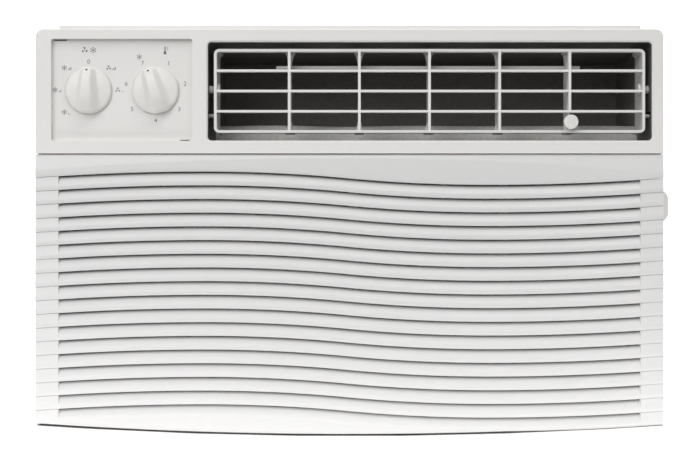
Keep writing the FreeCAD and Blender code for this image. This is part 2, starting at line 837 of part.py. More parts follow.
def louvre_frame():
    body = new_body("louvre_frame")
    left = louvre_left + louvre_wall
    right = louvre_right - louvre_wall
    low = louvre_low + louvre_wall
    high = louvre_high - louvre_wall
    slab(body, "Pad", "XZ", louvre_front, louvre_back,
         rounded(louvre_left, louvre_right, louvre_low, louvre_high, louvre_radius),
         rounded(left, right, low, high, louvre_radius - louvre_wall))
    ends = (louvre_left + louvre_radius, louvre_right - louvre_radius)
    lugs = [(vane_x(index) - louvre_lug, vane_x(index) + louvre_lug) for index in range(1, 6)]
    starts = [ends[0]] + [lug[1] for lug in lugs]
    stops = [lug[0] for lug in lugs] + [ends[1]]
    slab(body, "Pocket", "XY", louvre_low, louvre_high,
         *[rectangle(*bay, louvre_front + louvre_rail_depth, vane_y + louvre_lug)
           for bay in zip(starts, stops)])
    slab(body, "Pocket", "XY", louvre_low, louvre_high,
         rectangle(*ends, vane_y + louvre_lug, louvre_back))
    blades = [louvre_low + louvre_wall / 2 + index * louvre_row for index in (1, 2, 3)]
    for middle in blades:
        slab(body, "Pad", "XZ", louvre_front, louvre_front + louvre_blade_depth,
             rectangle(left, right, middle - louvre_blade / 2, middle + louvre_blade / 2))
    for index in range(1, 6):
        foot = blades[0] if index == 5 else low
        slab(body, "Pad", "XZ", louvre_front, louvre_front + louvre_blade_depth - 0.5,
             rectangle(vane_x(index) - rib_thickness / 2, vane_x(index) + rib_thickness / 2, foot, high))
    slab(body, "Pocket", "XY", louvre_low, louvre_high,
         *[circle(vane_x(index), vane_y, vane_pin_radius + running_gap) for index in range(1, 6)])
    slab(body, "Pocket", "YZ", louvre_left, louvre_right, circle(louvre_y, louvre_z, pivot_radius))
    reach = louvre_side_gap + 1
    for side in ((louvre_left - reach, louvre_left + 1), (louvre_right - 1, louvre_right + reach)):
        slab(body, "Pad", "YZ", *side, circle(louvre_y, louvre_z - stop_drop, stop_radius))


def louvre_pivots():
    head = 1.6
    pins = []
    for inside, outside, head_start in (
            (louvre_left + louvre_wall + head, outlet_left - collar_wall, louvre_left + louvre_wall),
            (outlet_right + collar_wall, louvre_right - louvre_wall - head,
             louvre_right - louvre_wall - head)):
        pins.append(fuse(rod("X", outside, louvre_y, louvre_z, pivot_radius, inside - outside),
                         rod("X", head_start, louvre_y, louvre_z, pivot_radius + 1.5, head)))
    sub_part("louvre_pivots", group(*pins))


def vane(index):
    """A swinging vane with a pin and a flared foot at each end and a crank pin at its rear edge."""
    x = vane_x(index)
    low = louvre_low + louvre_wall + vane_end_gap
    high = louvre_high - louvre_wall - vane_end_gap
    flare = 8
    blade = block(x - vane_thickness / 2, x + vane_thickness / 2, vane_front, vane_back, low, high)
    notch = block(x - vane_thickness, x + vane_thickness, link_y - 3.5, vane_back + 1,
                  link_z - 3, link_z + 3)
    pieces = [cut(blade, notch), rod("Z", x, link_y, link_z - 3, link_pin_radius, 6)]
    pieces.append(rod("Z", x, vane_y, louvre_low, vane_pin_radius, low - louvre_low + 1))
    pieces.append(rod("Z", x, vane_y, high - 1, vane_pin_radius, louvre_high - high + 1))
    pieces.append(cone("Z", x, vane_y, low, 2.8, vane_thickness / 2, flare))
    pieces.append(cone("Z", x, vane_y, high - flare, vane_thickness / 2, 2.8, flare))
    sub_part(f"vane_{index}", fuse(*pieces))


def vane_link():
    boss = link_pin_radius + 1.2
    low = link_z - link_thickness / 2
    pieces = [block(vane_x(1) - link_overhang, vane_x(5) + link_overhang, link_y - 1.2, link_y + 1.2,
                    low, low + link_thickness)]
    holes = []
    for index in range(1, 6):
        pieces.append(rod("Z", vane_x(index), link_y, low, boss, link_thickness))
        holes.append(rod("Z", vane_x(index), link_y, low - 1, link_pin_radius + running_gap,
                         link_thickness + 2))
    sub_part("vane_link", cut(fuse(*pieces), *holes))


def vane_tab():
    """The ridged finger disc that swings the vanes, on an arm through the lowest row."""
    x = vane_x(5)
    face = louvre_front - 6.5
    pieces = [block(x - 1.2, x + 1.2, louvre_front - 2, vane_front, finger_z - 2, finger_z + 2),
              rod("Y", x, face, finger_z, finger_radius, 4.5)]
    for ridge in (-2.4, 0, 2.4):
        pieces.append(block(x + ridge - 0.5, x + ridge + 0.5, face - 0.6, face + 0.4,
                            finger_z - 3.6, finger_z + 3.6))
    sub_part("vane_tab", fuse(*pieces))


def discharge_duct():
    """Six flat walls; the floor is open over the blower."""
    back = bulkhead_y - 2
    inner_back = back - duct_wall
    left = outlet_left - duct_wall
    right = outlet_right + duct_wall
    top = outlet_high + duct_wall
    throat_left = shaft_x - housing_half + housing_wall
    throat_right = shaft_x + housing_half - housing_wall
    throat_front = housing_front + housing_wall
    sub_part("discharge_duct", group(
        block(left, right, collar_back, back, outlet_high, top),
        block(left, outlet_left, collar_back, back, duct_low, outlet_high),
        block(outlet_right, right, collar_back, back, duct_low, outlet_high),
        block(outlet_left, outlet_right, inner_back, back, duct_low, outlet_high),
        block(outlet_left, throat_left, collar_back, inner_back, duct_low, outlet_low),
        block(throat_right, outlet_right, collar_back, inner_back, duct_low, outlet_low),
        block(throat_left, throat_right, collar_back, throat_front, duct_low, outlet_low)))


def duct_lip():
    """A rounded foam ridge across the duct floor, just behind the collar."""
    ridge = rod("X", outlet_left + gap, collar_back + lip_radius + 2, outlet_low + lip_rise, lip_radius,
                outlet_right - outlet_left - 2 * gap)
    below = block(outlet_left, outlet_right, collar_back, collar_back + 2 * lip_radius + 4,
                  outlet_low - lip_radius, outlet_low)
    sub_part("duct_lip", cut(ridge, below))


def blower_housing():
    back = bulkhead_y - 2
    left = shaft_x - housing_half
    right = shaft_x + housing_half
    inner_front = housing_front + housing_wall
    inner_depth = back - housing_wall - inner_front
    shell = block(left, right, housing_front, back, housing_low, duct_low)
    scroll = rod("Y", shaft_x, inner_front, shaft_z, housing_half - housing_wall, inner_depth)
    outlet = block(left + housing_wall, right - housing_wall, inner_front, back - housing_wall,
                   shaft_z, duct_low + 1)
    inlet = rod("Y", shaft_x, housing_front - 1, shaft_z, wheel_radius - inlet_step, housing_wall + 2)
    shaft_way = rod("Y", shaft_x, back - housing_wall - 1, shaft_z, nose_radius + 3, housing_wall + 2)
    sub_part("blower_housing", cut(shell, scroll, outlet, inlet, shaft_way))


def inlet_ring():
    opening = wheel_radius - inlet_step
    flange = ring("Y", shaft_x, housing_front - 1.5, shaft_z, opening - 2, opening + 10, 1.5)
    throat = ring("Y", shaft_x, housing_front - 1.5, shaft_z, opening - 2, opening, housing_wall + 4)
    sub_part("inlet_ring", fuse(flange, throat))


def blower_wheel():
    """A forward-curved wheel: a front ring, and a back plate with its hub, with blades in between."""
    length = wheel_back - wheel_front
    plate = 2
    hub_radius = 12
    hub_length = 14
    blades = new_body("blower_wheel", (shaft_x, wheel_front, shaft_z), whole=False)
    blade = slab(blades, "Pad", "XZ", plate, length - plate,
                 outline((-0.6, wheel_radius - wheel_band), (0.6, wheel_radius - wheel_band),
                         (3.6, wheel_radius - 1), (2.4, wheel_radius - 1)))
    spin(blades, blade, "Y", blade_count)
    back = fuse(ring("Y", shaft_x, wheel_back - plate, shaft_z, shaft_radius, wheel_radius, plate),
                ring("Y", shaft_x, wheel_back - hub_length, shaft_z, shaft_radius, hub_radius, hub_length))
    rim = ring("Y", shaft_x, wheel_front, shaft_z, wheel_radius - wheel_band, wheel_radius, plate)
    sub_part("blower_wheel", group(blades, back, rim))


def motor_shaft():
    sub_part("motor_shaft", rod("Y", shaft_x, wheel_front, shaft_z, shaft_radius, fan_back - wheel_front))


def fan_motor():
    end_taper = 8
    case = [rod("Y", shaft_x, motor_front + end_taper, shaft_z, motor_radius, motor_length - 2 * end_taper),
            cone("Y", shaft_x, motor_front, shaft_z, motor_radius - 5, motor_radius, end_taper),
            cone("Y", shaft_x, motor_back - end_taper, shaft_z, motor_radius, motor_radius - 5, end_taper),
            rod("Y", shaft_x, motor_front - 7, shaft_z, nose_radius, motor_length + 14)]
    bore = rod("Y", shaft_x, motor_front - 8, shaft_z, shaft_radius + running_gap, motor_length + 16)
    sub_part("fan_motor", cut(fuse(*case), bore))


def motor_bracket():
    left = shaft_x - motor_radius
    right = shaft_x + motor_radius
    top = shaft_z - motor_radius / 2
    seat = rod("Y", shaft_x, motor_front, shaft_z, motor_radius, motor_length)
    pieces = [block(left, right, motor_front + 12, motor_back - 12, pan_floor, pan_floor + rail_metal)]
    for start in (motor_front + 14, motor_back - 14 - rail_metal):
        pieces.append(block(left + 5, right - 5, start, start + rail_metal, pan_floor, top))
    sub_part("motor_bracket", cut(fuse(*pieces), seat))


def condenser_fan():
    """An axial fan inside a slinger ring that picks up the condensate."""
    body = new_body("condenser_fan", (shaft_x, fan_front, shaft_z))
    slab(body, "Pad", "XZ", 0, fan_depth, circle(0, 0, 22), circle(0, 0, shaft_radius))
    blade = slab(body, "Pad", "XY", 18, fan_ring - 1,
                 outline((-28, fan_depth - 6), (28, 3), (28, 5), (-28, fan_depth - 4)))
    spin(body, blade, "Y", fan_blades)
    slab(body, "Pocket", "XZ", 0, fan_depth, circle(0, 0, fan_ring + 20), circle(0, 0, fan_ring - 1))
    slab(body, "Pad", "XZ", 8, 22, circle(0, 0, fan_ring), circle(0, 0, fan_ring - 2.5))


def condenser_shroud():
    """The fan plate, its three rims and the short ring around the fan."""
    low = pan_floor + gap
    opening = fan_ring + 4
    ring_front = fan_front + 16
    rim_back = condenser_front
    hole = rod("Y", shaft_x, shroud_y - 1, shaft_z, opening, sheet_metal + 2)
    plate = block(-coil_half, coil_half, shroud_y, shroud_y + sheet_metal, low, condenser_high)
    sub_part("condenser_shroud", group(
        cut(plate, hole),
        block(-coil_half, coil_half, shroud_y, rim_back, condenser_high, condenser_high + 1),
        block(-coil_half - 1, -coil_half, shroud_y, rim_back, low, condenser_high + 1),
        block(coil_half, coil_half + 1, shroud_y, rim_back, low, condenser_high + 1),
        ring("Y", shaft_x, ring_front, shaft_z, opening, opening + 1.2, shroud_y - ring_front)))


# ---------------------------------------------------------------- coils, compressor and pipes


def half_turn(x, y, z, radius, side):
    """A return bend that joins two tubes one above the other."""
    item = doc.addObject("Part::Torus", "Bend")
    bind(item, "Radius1", radius)
    bind(item, "Radius2", coil_tube_radius)
    item.Angle3 = 180
    turn = FreeCAD.Rotation(V(0, 0, -1), V(side, 0, 0), V(0, -side, 0), "XYZ")
    item.Placement = FreeCAD.Placement(V(), turn)
    place(item, x, y, z)
    return item


def coil(label, left, right, low, high, y0, y1, foot, pitch):
    """A finned block in two columns of tubes, with end plates and return bends."""
    rows = 2 * int(number(high - low - coil_tube_radius) / (2 * number(pitch)) + 0.25)
    plate = 1.2
    columns = [y0 + (y1 - y0) / 4, y1 - (y1 - y0) / 4]
    levels = [low + pitch / 2 + index * pitch for index in range(rows)]
    start = left - plate - 2
    end = right + plate + 2
    holes = []
    tubes = []
    for y in columns:
        for index, z in enumerate(levels):
            holes.append(rod("X", left - plate - 1, y, z, coil_tube_radius, right - left + 2 * plate + 2))
            tubes.append(rod("X", start, y, z, coil_tube_radius, end - start))
            if index < rows - 1:
                side, x = (1, end) if index % 2 == 0 else (-1, start)
                tubes.append(half_turn(x, y, z + pitch / 2, pitch / 2, side))
    sub_part(label + "_fins", cut(block(left, right, y0, y1, low, high), *holes))
    plates = fuse(block(left - plate, left, y0, y1, foot, high + 1),
                  block(right, right + plate, y0, y1, foot, high + 1))
    sub_part(label + "_end_plates", cut(plates, *holes))
    sub_part(label + "_tubes", fuse(*tubes))
    return start, columns, levels


def compressor():
    """A domed rotary compressor on a round foot plate."""
    body = new_body("compressor", (compressor_x, compressor_y, compressor_low))
    rise = 28
    dome = (compressor_radius * compressor_radius + rise * rise) / (2 * rise)
    revolve(body, "XZ", "V_Axis",
            outline((0, 0), (compressor_radius, 0), (compressor_radius, compressor_height - rise, dome),
                    (0, compressor_height)))
    slab(body, "Pad", "XY", compressor_height * 0.72, compressor_height * 0.72 + 5,
         circle(0, 0, compressor_radius + 2))
    slab(body, "Pad", "XY", -3, 0, circle(0, 0, foot_reach + 8))
    for x, y in foot_places(0, 0):
        slab(body, "Pocket", "XY", -3, 0, circle(x, y, sill_bolt_radius))


def foot_places(x, y):
    lean = root(3) / 2
    return [(x + foot_reach, y), (x - foot_reach / 2, y + foot_reach * lean),
            (x - foot_reach / 2, y - foot_reach * lean)]


def compressor_mounts():
    grommets = []
    bolts = []
    foot_top = compressor_low
    for x, y in foot_places(compressor_x, compressor_y):
        grommets.append(ring("Z", x, y, pan_floor, sill_bolt_radius, 9, foot_top - 3 - pan_floor))
        bolts.append(fuse(rod("Z", x, y, pan_floor, sill_bolt_radius, foot_top - pan_floor + 6),
                          rod("Z", x, y, foot_top, 5, 4)))
    sub_part("compressor_grommets", group(*grommets))
    sub_part("compressor_bolts", group(*bolts))


def accumulator():
    base = accumulator_low
    length = 100
    radius = 13
    x = line_x + 3
    sub_part("accumulator", fuse(cone("Z", x, compressor_y, base - 8, 5, radius, 8),
                                 rod("Z", x, compressor_y, base, radius, length),
                                 cone("Z", x, compressor_y, base + length, radius, 5, 8)))


def pipes(evaporator_start, evaporator_columns, evaporator_levels,
          condenser_start, condenser_columns, condenser_levels):
    """The refrigerant lines, the filter drier and the capillary along the left side."""
    x = line_x + 3
    top = evaporator_levels[-1]
    near, far = evaporator_columns
    sub_part("suction_line", group(
        bent_tube(4, 6, (evaporator_start, far, top), (x, far, top), (x, compressor_y, top),
                  (x, compressor_y, accumulator_low + 108)),
        bent_tube(4, 6, (x, compressor_y, accumulator_low - 8), (x, compressor_y, accumulator_low - 22),
                  (compressor_x - compressor_radius, compressor_y, accumulator_low - 22))))
    high = condenser_levels[-1]
    sub_part("discharge_line", bent_tube(
        3, 8, (condenser_start, condenser_columns[0], high), (line_x, condenser_columns[0], high),
        (line_x, compressor_y, high), (compressor_x, compressor_y, high),
        (compressor_x, compressor_y, compressor_low + compressor_height)))
    low = condenser_levels[0]
    drier_front = compressor_y + 10
    drier_length = 55
    sub_part("filter_drier", fuse(
        rod("Y", line_x, drier_front + 6, low, 8, drier_length - 12),
        cone("Y", line_x, drier_front, low, 2.5, 8, 6),
        cone("Y", line_x, drier_front + drier_length - 6, low, 8, 2.5, 6)))
    sub_part("liquid_line", bent_tube(
        2.5, 6, (condenser_start, condenser_columns[1], low), (line_x, condenser_columns[1], low),
        (line_x, drier_front + drier_length, low)))
    sub_part("capillary_tube", bent_tube(
        1.5, 8, (line_x, drier_front, low), (line_x, near, evaporator_levels[0]),
        (evaporator_start, near, evaporator_levels[0])))


def bulkhead(levels):
    """The sheet wall between the room side and the outdoor side."""
    side = pan_half - pan_metal - gap
    wall_sheet = block(-side, side, bulkhead_y, bulkhead_y + sheet_metal, pan_floor, inner_top - gap)
    thick = sheet_metal + 2
    ways = [rod("Y", shaft_x, bulkhead_y - 1, shaft_z, nose_radius + 3, thick),
            rod("Y", line_x + 3, bulkhead_y - 1, levels[-1], 7, thick),
            rod("Y", line_x, bulkhead_y - 1, levels[0] - 2, 6, thick)]
    sub_part("bulkhead", cut(wall_sheet, *ways))


# ---------------------------------------------------------------- filter, cabinet and rail


def filter_windows():
    """Low and high X of the openings in the filter frame."""
    left = -half + wall + 4
    bay = (half - gap - left - filter_border) / 4
    return [(left + filter_border + index * bay, left + (index + 1) * bay) for index in range(4)]


def filter_frame():
    body = new_body("filter_frame")
    left = -half + wall + 4
    slab(body, "Pad", "XZ", filter_front, filter_back,
         rectangle(left, half - gap, filter_low, filter_high),
         *[rectangle(*edges, filter_low + filter_border, filter_high - filter_border)
           for edges in filter_windows()])
    tab_low = seam - pull_tab_drop - pull_tab_height / 2
    tab_high = tab_low + pull_tab_height
    tab_end = half + pull_tab_reach
    slab(body, "Pad", "XZ", filter_front, filter_back,
         outline((half - gap - 4, tab_low), (half, tab_low, pull_tab_reach),
                 (tab_end, tab_low + pull_tab_reach), (tab_end, tab_high - pull_tab_reach, pull_tab_reach),
                 (half, tab_high), (half - gap - 4, tab_high)))


def filter_mesh():
    middle = filter_front + filter_thickness / 2
    sub_part("filter_mesh", group(*[
        block(*edges, middle - 0.4, middle + 0.4, filter_low + filter_border, filter_high - filter_border)
        for edges in filter_windows()]))


def filter_tracks():
    """Upper and lower channels that the filter slides in."""
    reach = pan_half - pan_metal - gap
    faces = (filter_front - gap - track_wall, filter_back + gap + track_wall)
    slot = block(-reach - 1, reach + 1, filter_front - gap, filter_back + gap,
                 filter_low - gap, filter_high + gap)
    rails = fuse(block(-reach, reach, *faces, pan_floor, filter_low + 5),
                 block(-reach, reach, *faces, filter_high - 5, seam))
    sub_part("filter_tracks", cut(rails, slot))


def base_pan():
    """A stamped tray with three runners, sill bolt holes and a drain spout."""
    body = new_body("base_pan", whole=False)
    rim = runner_drop + pan_rim
    slab(body, "Pad", "XY", runner_drop, rim, rectangle(-pan_half, pan_half, pan_front, cabinet_back))
    inset = pan_half - pan_metal
    slab(body, "Pocket", "XY", pan_floor, rim,
         rectangle(-inset, inset, pan_front + pan_metal, cabinet_back - pan_metal))
    ends = (pan_front + 16, condenser_front - 6)
    slab(body, "Pocket", "YZ", inset, pan_half,
         rectangle(filter_front - 2 * gap, filter_back + 2 * gap, filter_low - 2 * gap, rim))
    for middle in (-runner_spacing, 0, runner_spacing):
        left, right = (middle - runner_width / 2, middle + runner_width / 2)
        slab(body, "Pad", "XY", 0, runner_drop + pan_metal / 2, rectangle(left, right, *ends))
        slab(body, "Pocket", "XY", pan_metal, pan_floor,
             rectangle(left + pan_metal, right - pan_metal, ends[0] + pan_metal, ends[1] - pan_metal))
    bolt_y = sill_bolt_spacing / 2
    for x in (-runner_spacing, runner_spacing):
        slab(body, "Pocket", "XY", 0, pan_metal,
             circle(x, -bolt_y, sill_bolt_radius), circle(x, bolt_y, sill_bolt_radius))
    slab(body, "Pad", "XY", 0, pan_floor, circle(coil_half - 30, drain_y, drain_radius + pan_metal))
    slab(body, "Pocket", "XY", 0, pan_floor, circle(coil_half - 30, drain_y, drain_radius))
    slab(body, "Pocket", "YZ", -pan_half, pan_half,
         *[circle(y, side_screw_z, screw_radius) for y in side_screw_places])
    inner_front = pan_front + pan_metal
    inner_back = cabinet_back - pan_metal
    parted("base_pan", body,
           block(-pan_half, pan_half, pan_front, cabinet_back, 0, pan_floor),
           block(-pan_half, pan_half, pan_front, inner_front, pan_floor, rim),
           block(-pan_half, pan_half, inner_back, cabinet_back, pan_floor, rim),
           block(-pan_half, -inset, inner_front, inner_back, pan_floor, rim),
           block(inset, pan_half, inner_front, inner_back, pan_floor, rim))


def cabinet_wrapper():
    """The sheet cover over the sides and the top, with hooded vents ahead of the condenser."""
    body = new_body("cabinet_wrapper", whole=False)
    outer = shoulder_radius - wall
    inner = outer - sheet_metal
    foot = runner_drop
    slab(body, "Pad", "XZ", cabinet_front, cabinet_back,
         outline((inner_half, foot), (cabinet_half, foot), (cabinet_half, cabinet_top - outer, outer),
                 (cabinet_half - outer, cabinet_top), (-cabinet_half + outer, cabinet_top, outer),
                 (-cabinet_half, cabinet_top - outer), (-cabinet_half, foot), (-inner_half, foot),
                 (-inner_half, inner_top - inner, -inner), (-inner_half + inner, inner_top),
                 (inner_half - inner, inner_top, -inner), (inner_half, inner_top - inner)))
    first_z = runner_drop + pan_rim + 30
    starts = [shroud_y - (column + 1) * (vent_length + 8) for column in range(3)]
    hood = slab(body, "Pad", "XZ", starts[-1], starts[0] + vent_length,
                outline((cabinet_half, first_z), (cabinet_half + vent_hood, first_z),
                        (cabinet_half, first_z + 2 * vent_opening)),
                outline((-cabinet_half, first_z), (-cabinet_half, first_z + 2 * vent_opening),
                        (-cabinet_half - vent_hood, first_z)))
    repeat(body, hood, "Z", vent_pitch, vent_rows)
    slots = slab(body, "Pocket", "YZ", -cabinet_half, cabinet_half,
                 *[rectangle(start + 2, start + vent_length - 2, first_z - vent_opening, first_z)
                   for start in starts])
    repeat(body, slots, "Z", vent_pitch, vent_rows)
    first_x = -vent_pitch * (vent_columns - 1) / 2
    vents = slab(body, "Pocket", "XY", inner_top, cabinet_top,
                 *[rectangle(first_x, first_x + vent_opening, start, start + vent_length - 2)
                   for start in starts])
    repeat(body, vents, "X", vent_pitch, vent_columns)
    screw_y = bezel_back - cabinet_lap / 2
    slab(body, "Pocket", "YZ", -cabinet_half, cabinet_half,
         *[circle(screw_y, z, screw_radius) for z in bezel_screw_levels],
         *[circle(y, side_screw_z, screw_radius) for y in side_screw_places])
    slab(body, "Pocket", "YZ", -cabinet_half, -inner_half, circle(gland_y, gland_z, gland_bore + 3))
    slab(body, "Pocket", "XY", inner_top, cabinet_top,
         *[circle(x, rail_screw_y, screw_radius) for x in rail_screw_places])
    fold = cabinet_top - outer
    reach = cabinet_half + vent_hood
    parted("cabinet_wrapper", body,
           block(-reach, -inner_half, cabinet_front, cabinet_back, foot, fold),
           block(inner_half, reach, cabinet_front, cabinet_back, foot, fold),
           block(-reach, reach, cabinet_front, cabinet_back, fold, cabinet_top))


def rear_guard():
    """The stamped guard behind the condenser."""
    body = new_body("rear_guard")
    slab(body, "Pad", "XZ", rear - guard_thickness, rear,
         rounded(-cabinet_half, cabinet_half, runner_drop, cabinet_top, 1, shoulder_radius - wall))
    rows = 28
    border = 17
    rib = 10
    row_pitch = (cabinet_top - runner_drop - 2 * border) / rows
    bay = (2 * cabinet_half - 2 * border - 2 * rib) / 3
    low = runner_drop + border
    lefts = [-cabinet_half + border + column * (bay + rib) for column in range(3)]
    slots = slab(body, "Pocket", "XZ", rear - guard_thickness, rear,
                 *[rectangle(left, left + bay, low, low + 0.74 * row_pitch) for left in lefts])
    repeat(body, slots, "Z", row_pitch, rows)


def top_rail():
    """The angle that the window sash comes down behind."""
    body = new_body("top_rail")
    front_face = rail_front + rail_metal
    top = cabinet_top + rail_height
    slab(body, "Pad", "YZ", -cabinet_half + 1, cabinet_half - 1,
         outline((rail_front, cabinet_top), (rail_front + rail_flange, cabinet_top),
                 (rail_front + rail_flange, cabinet_top + rail_metal),
                 (front_face, cabinet_top + rail_metal), (front_face, top), (rail_front, top)))
    slab(body, "Pocket", "XZ", rail_front, front_face,
         circle(-rail_bolt_spacing / 2, cabinet_top + 8, rail_bolt_radius),
         circle(rail_bolt_spacing / 2, cabinet_top + 8, rail_bolt_radius))
    slab(body, "Pocket", "XY", cabinet_top, cabinet_top + rail_metal,
         *[circle(x, rail_screw_y, screw_radius) for x in rail_screw_places])


def side_screw(side, y, z, face, length):
    """A screw through the right side, or through the left side when side is -1."""
    shank_start = face - length if side > 0 else -face
    head_start = face if side > 0 else -face - screw_head
    return fuse(rod("X", shank_start, y, z, screw_radius, length),
                rod("X", head_start, y, z, screw_head_radius, screw_head))


def screws():
    screw_y = bezel_back - cabinet_lap / 2
    bezel_shank = wall + gap + sheet_metal + 0.6
    rail_shank = rail_metal + sheet_metal + 1.5
    sub_part("bezel_screws", group(*[side_screw(side, screw_y, z, half, bezel_shank)
                                     for side in (-1, 1) for z in bezel_screw_levels]))
    cabinet = [side_screw(side, y, side_screw_z, cabinet_half, 7)
               for side in (-1, 1) for y in side_screw_places]
    flange_top = cabinet_top + rail_metal
    for x in rail_screw_places:
        cabinet.append(fuse(rod("Z", x, rail_screw_y, flange_top - rail_shank, screw_radius, rail_shank),
                            rod("Z", x, rail_screw_y, flange_top, screw_head_radius, screw_head)))
    sub_part("cabinet_screws", group(*cabinet))


def cord_grommet():
    """The gland that the mains cord passes through, in the left side of the cabinet."""
    neck = gland_bore + 3
    lip = 1.5
    pieces = fuse(rod("X", -cabinet_half - lip, gland_y, gland_z, neck + 2.5, lip),
                  rod("X", -cabinet_half - lip, gland_y, gland_z, neck, sheet_metal + 2 * lip),
                  rod("X", -inner_half, gland_y, gland_z, neck + 2.5, lip))
    bore = rod("X", -cabinet_half - lip - 1, gland_y, gland_z, gland_bore, sheet_metal + 2 * lip + 2)
    sub_part("cord_grommet", cut(pieces, bore))


def simple_pieces():
    left = -coil_half + 4
    right = coil_half - 14
    tray = block(left, right, evaporator_front - 3, evaporator_back + 3, pan_floor, evaporator_low - gap)
    hollow = block(left + 1.5, right - 1.5, evaporator_front - 1.5, evaporator_back + 1.5,
                   pan_floor + 2, evaporator_low)
    sub_part("drain_tray", cut(tray, hollow))
    sub_part("air_seal", block(-coil_half + 8, coil_half - 18, evaporator_front, evaporator_back,
                               evaporator_high + 1, duct_low))


# ---------------------------------------------------------------- the assembly

front_bezel()
intake_grille()
control_panel()
control_box()
knob("mode_knob", mode_x)
knob("temp_knob", temp_x, temp_rest_angle)
control_shaft("switch_shaft", mode_x)
control_shaft("thermostat_shaft", temp_x)
rotary_control("mode_switch", mode_x, 14, 14, panel_back + 24)
rotary_control("thermostat", temp_x, 15, 16, panel_back + 22)
thermostat_bulb()
run_capacitor()
outlet_collar()
louvre_frame()
louvre_pivots()
for number_of_vane in range(1, 6):
    vane(number_of_vane)
vane_link()
vane_tab()
discharge_duct()
duct_lip()
blower_housing()
inlet_ring()
blower_wheel()
motor_shaft()
fan_motor()
motor_bracket()
condenser_fan()
condenser_shroud()
evaporator = coil("evaporator", -coil_half + 8, coil_half - 18, evaporator_low, evaporator_high,
                  evaporator_front, evaporator_back, pan_floor + 2, evaporator_pitch)
condenser = coil("condenser", -coil_half + 3, coil_half - 3, condenser_low, condenser_high,
                 condenser_front, condenser_back, pan_floor, condenser_pitch)
compressor()
compressor_mounts()
accumulator()
pipes(*evaporator, *condenser)
bulkhead(evaporator[2])
filter_frame()
filter_mesh()
filter_tracks()
base_pan()
cabinet_wrapper()
rear_guard()
top_rail()
screws()
cord_grommet()
simple_pieces()

doc.recompute()
failed = [item.Label for item in doc.Objects if {"Invalid", "Error"} & set(item.State)]
failed += [item.Label for item in sub_parts if item.Shape.isNull() or not item.Shape.isValid()]
if failed:
    raise RuntimeError("not built: " + ", ".join(failed))
os.makedirs("parts", exist_ok=True)
for item in sub_parts:
    item.Shape.exportStep(f"parts/{item.Label}.step")
print(len(sub_parts), "sub-parts")
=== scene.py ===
"""Looks of the window air conditioner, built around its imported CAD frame. Metres, Z up."""
import json
import math
import random

import bmesh
import bpy
from mathutils import Matrix, Vector


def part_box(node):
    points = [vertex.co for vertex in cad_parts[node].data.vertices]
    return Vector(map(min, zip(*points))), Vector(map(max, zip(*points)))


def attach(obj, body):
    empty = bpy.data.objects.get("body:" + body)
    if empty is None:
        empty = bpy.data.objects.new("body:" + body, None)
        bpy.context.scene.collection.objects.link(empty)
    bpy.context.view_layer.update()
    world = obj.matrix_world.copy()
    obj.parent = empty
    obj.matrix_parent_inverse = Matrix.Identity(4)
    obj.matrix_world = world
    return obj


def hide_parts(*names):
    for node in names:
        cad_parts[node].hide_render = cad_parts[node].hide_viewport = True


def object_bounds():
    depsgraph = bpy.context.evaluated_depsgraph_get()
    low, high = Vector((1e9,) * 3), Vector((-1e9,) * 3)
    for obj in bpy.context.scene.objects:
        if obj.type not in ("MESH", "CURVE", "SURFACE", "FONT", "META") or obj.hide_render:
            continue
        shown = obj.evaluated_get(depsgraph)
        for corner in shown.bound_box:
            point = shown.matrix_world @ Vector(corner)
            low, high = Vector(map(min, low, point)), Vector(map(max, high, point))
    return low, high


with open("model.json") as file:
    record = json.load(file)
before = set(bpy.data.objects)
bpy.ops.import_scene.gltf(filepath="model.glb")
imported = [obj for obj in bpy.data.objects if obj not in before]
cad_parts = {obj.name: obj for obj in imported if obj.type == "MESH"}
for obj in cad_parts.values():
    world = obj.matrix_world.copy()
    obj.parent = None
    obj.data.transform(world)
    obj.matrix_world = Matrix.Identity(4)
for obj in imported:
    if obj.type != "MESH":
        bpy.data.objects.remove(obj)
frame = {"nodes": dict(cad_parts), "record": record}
CAD_BOX = [list(corner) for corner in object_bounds()]
MM = 0.001
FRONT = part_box("front_bezel")[0].y
GRILLE_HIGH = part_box("intake_grille")[1]
PANEL_LOW, PANEL_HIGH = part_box("control_panel")

# ---------------------------------------------------------------- camera, stage and light

CAMERA_DISTANCE = 0.95
CAMERA_SIDE = 0.006
CAMERA_HEIGHT = 0.1533
CAMERA_LENS = 65.4
CAMERA_SENSOR = 36
CAMERA_SHIFT = -0.0107
STAGE_REACH = 25
STAGE_BACK = 6
BACKDROP_HEIGHT = 15
APRON_GAP = 0.16
WORLD_STRENGTH = 0.62
LAMP_TARGET = (0, 0, 0.15)
# Place, size and power of each lamp.
LAMPS = {
    "key": ((0.5, -1.3, 2.2), (1.3, 0.8), 14),
    "fill": ((-0.9, -2.2, 1.3), (1.6, 1.6), 26),
    "rim": ((0.6, 2.0, 1.8), (1.6, 1.2), 10),
}


def make_camera():
    """A level camera straight in front of the unit."""
    data = bpy.data.cameras.new("camera")
    data.lens = CAMERA_LENS
    data.sensor_width = CAMERA_SENSOR
    data.shift_x = CAMERA_SHIFT
    camera = bpy.data.objects.new("camera", data)
    camera.location = (CAMERA_SIDE, FRONT - CAMERA_DISTANCE, CAMERA_HEIGHT)
    camera.rotation_euler = (math.pi / 2, 0, 0)
    bpy.context.scene.collection.objects.link(camera)
    bpy.context.scene.camera = camera


def add_light(name, place, size, power):
    """A soft rectangular lamp aimed at the middle of the unit."""
    data = bpy.data.lights.new(name, "AREA")
    data.shape = "RECTANGLE"
    data.size, data.size_y = size
    data.energy = power
    lamp = bpy.data.objects.new(name, data)
    lamp.location = place
    lamp.rotation_euler = (Vector(LAMP_TARGET) - Vector(place)).to_track_quat("-Z", "Y").to_euler()
    bpy.context.scene.collection.objects.link(lamp)


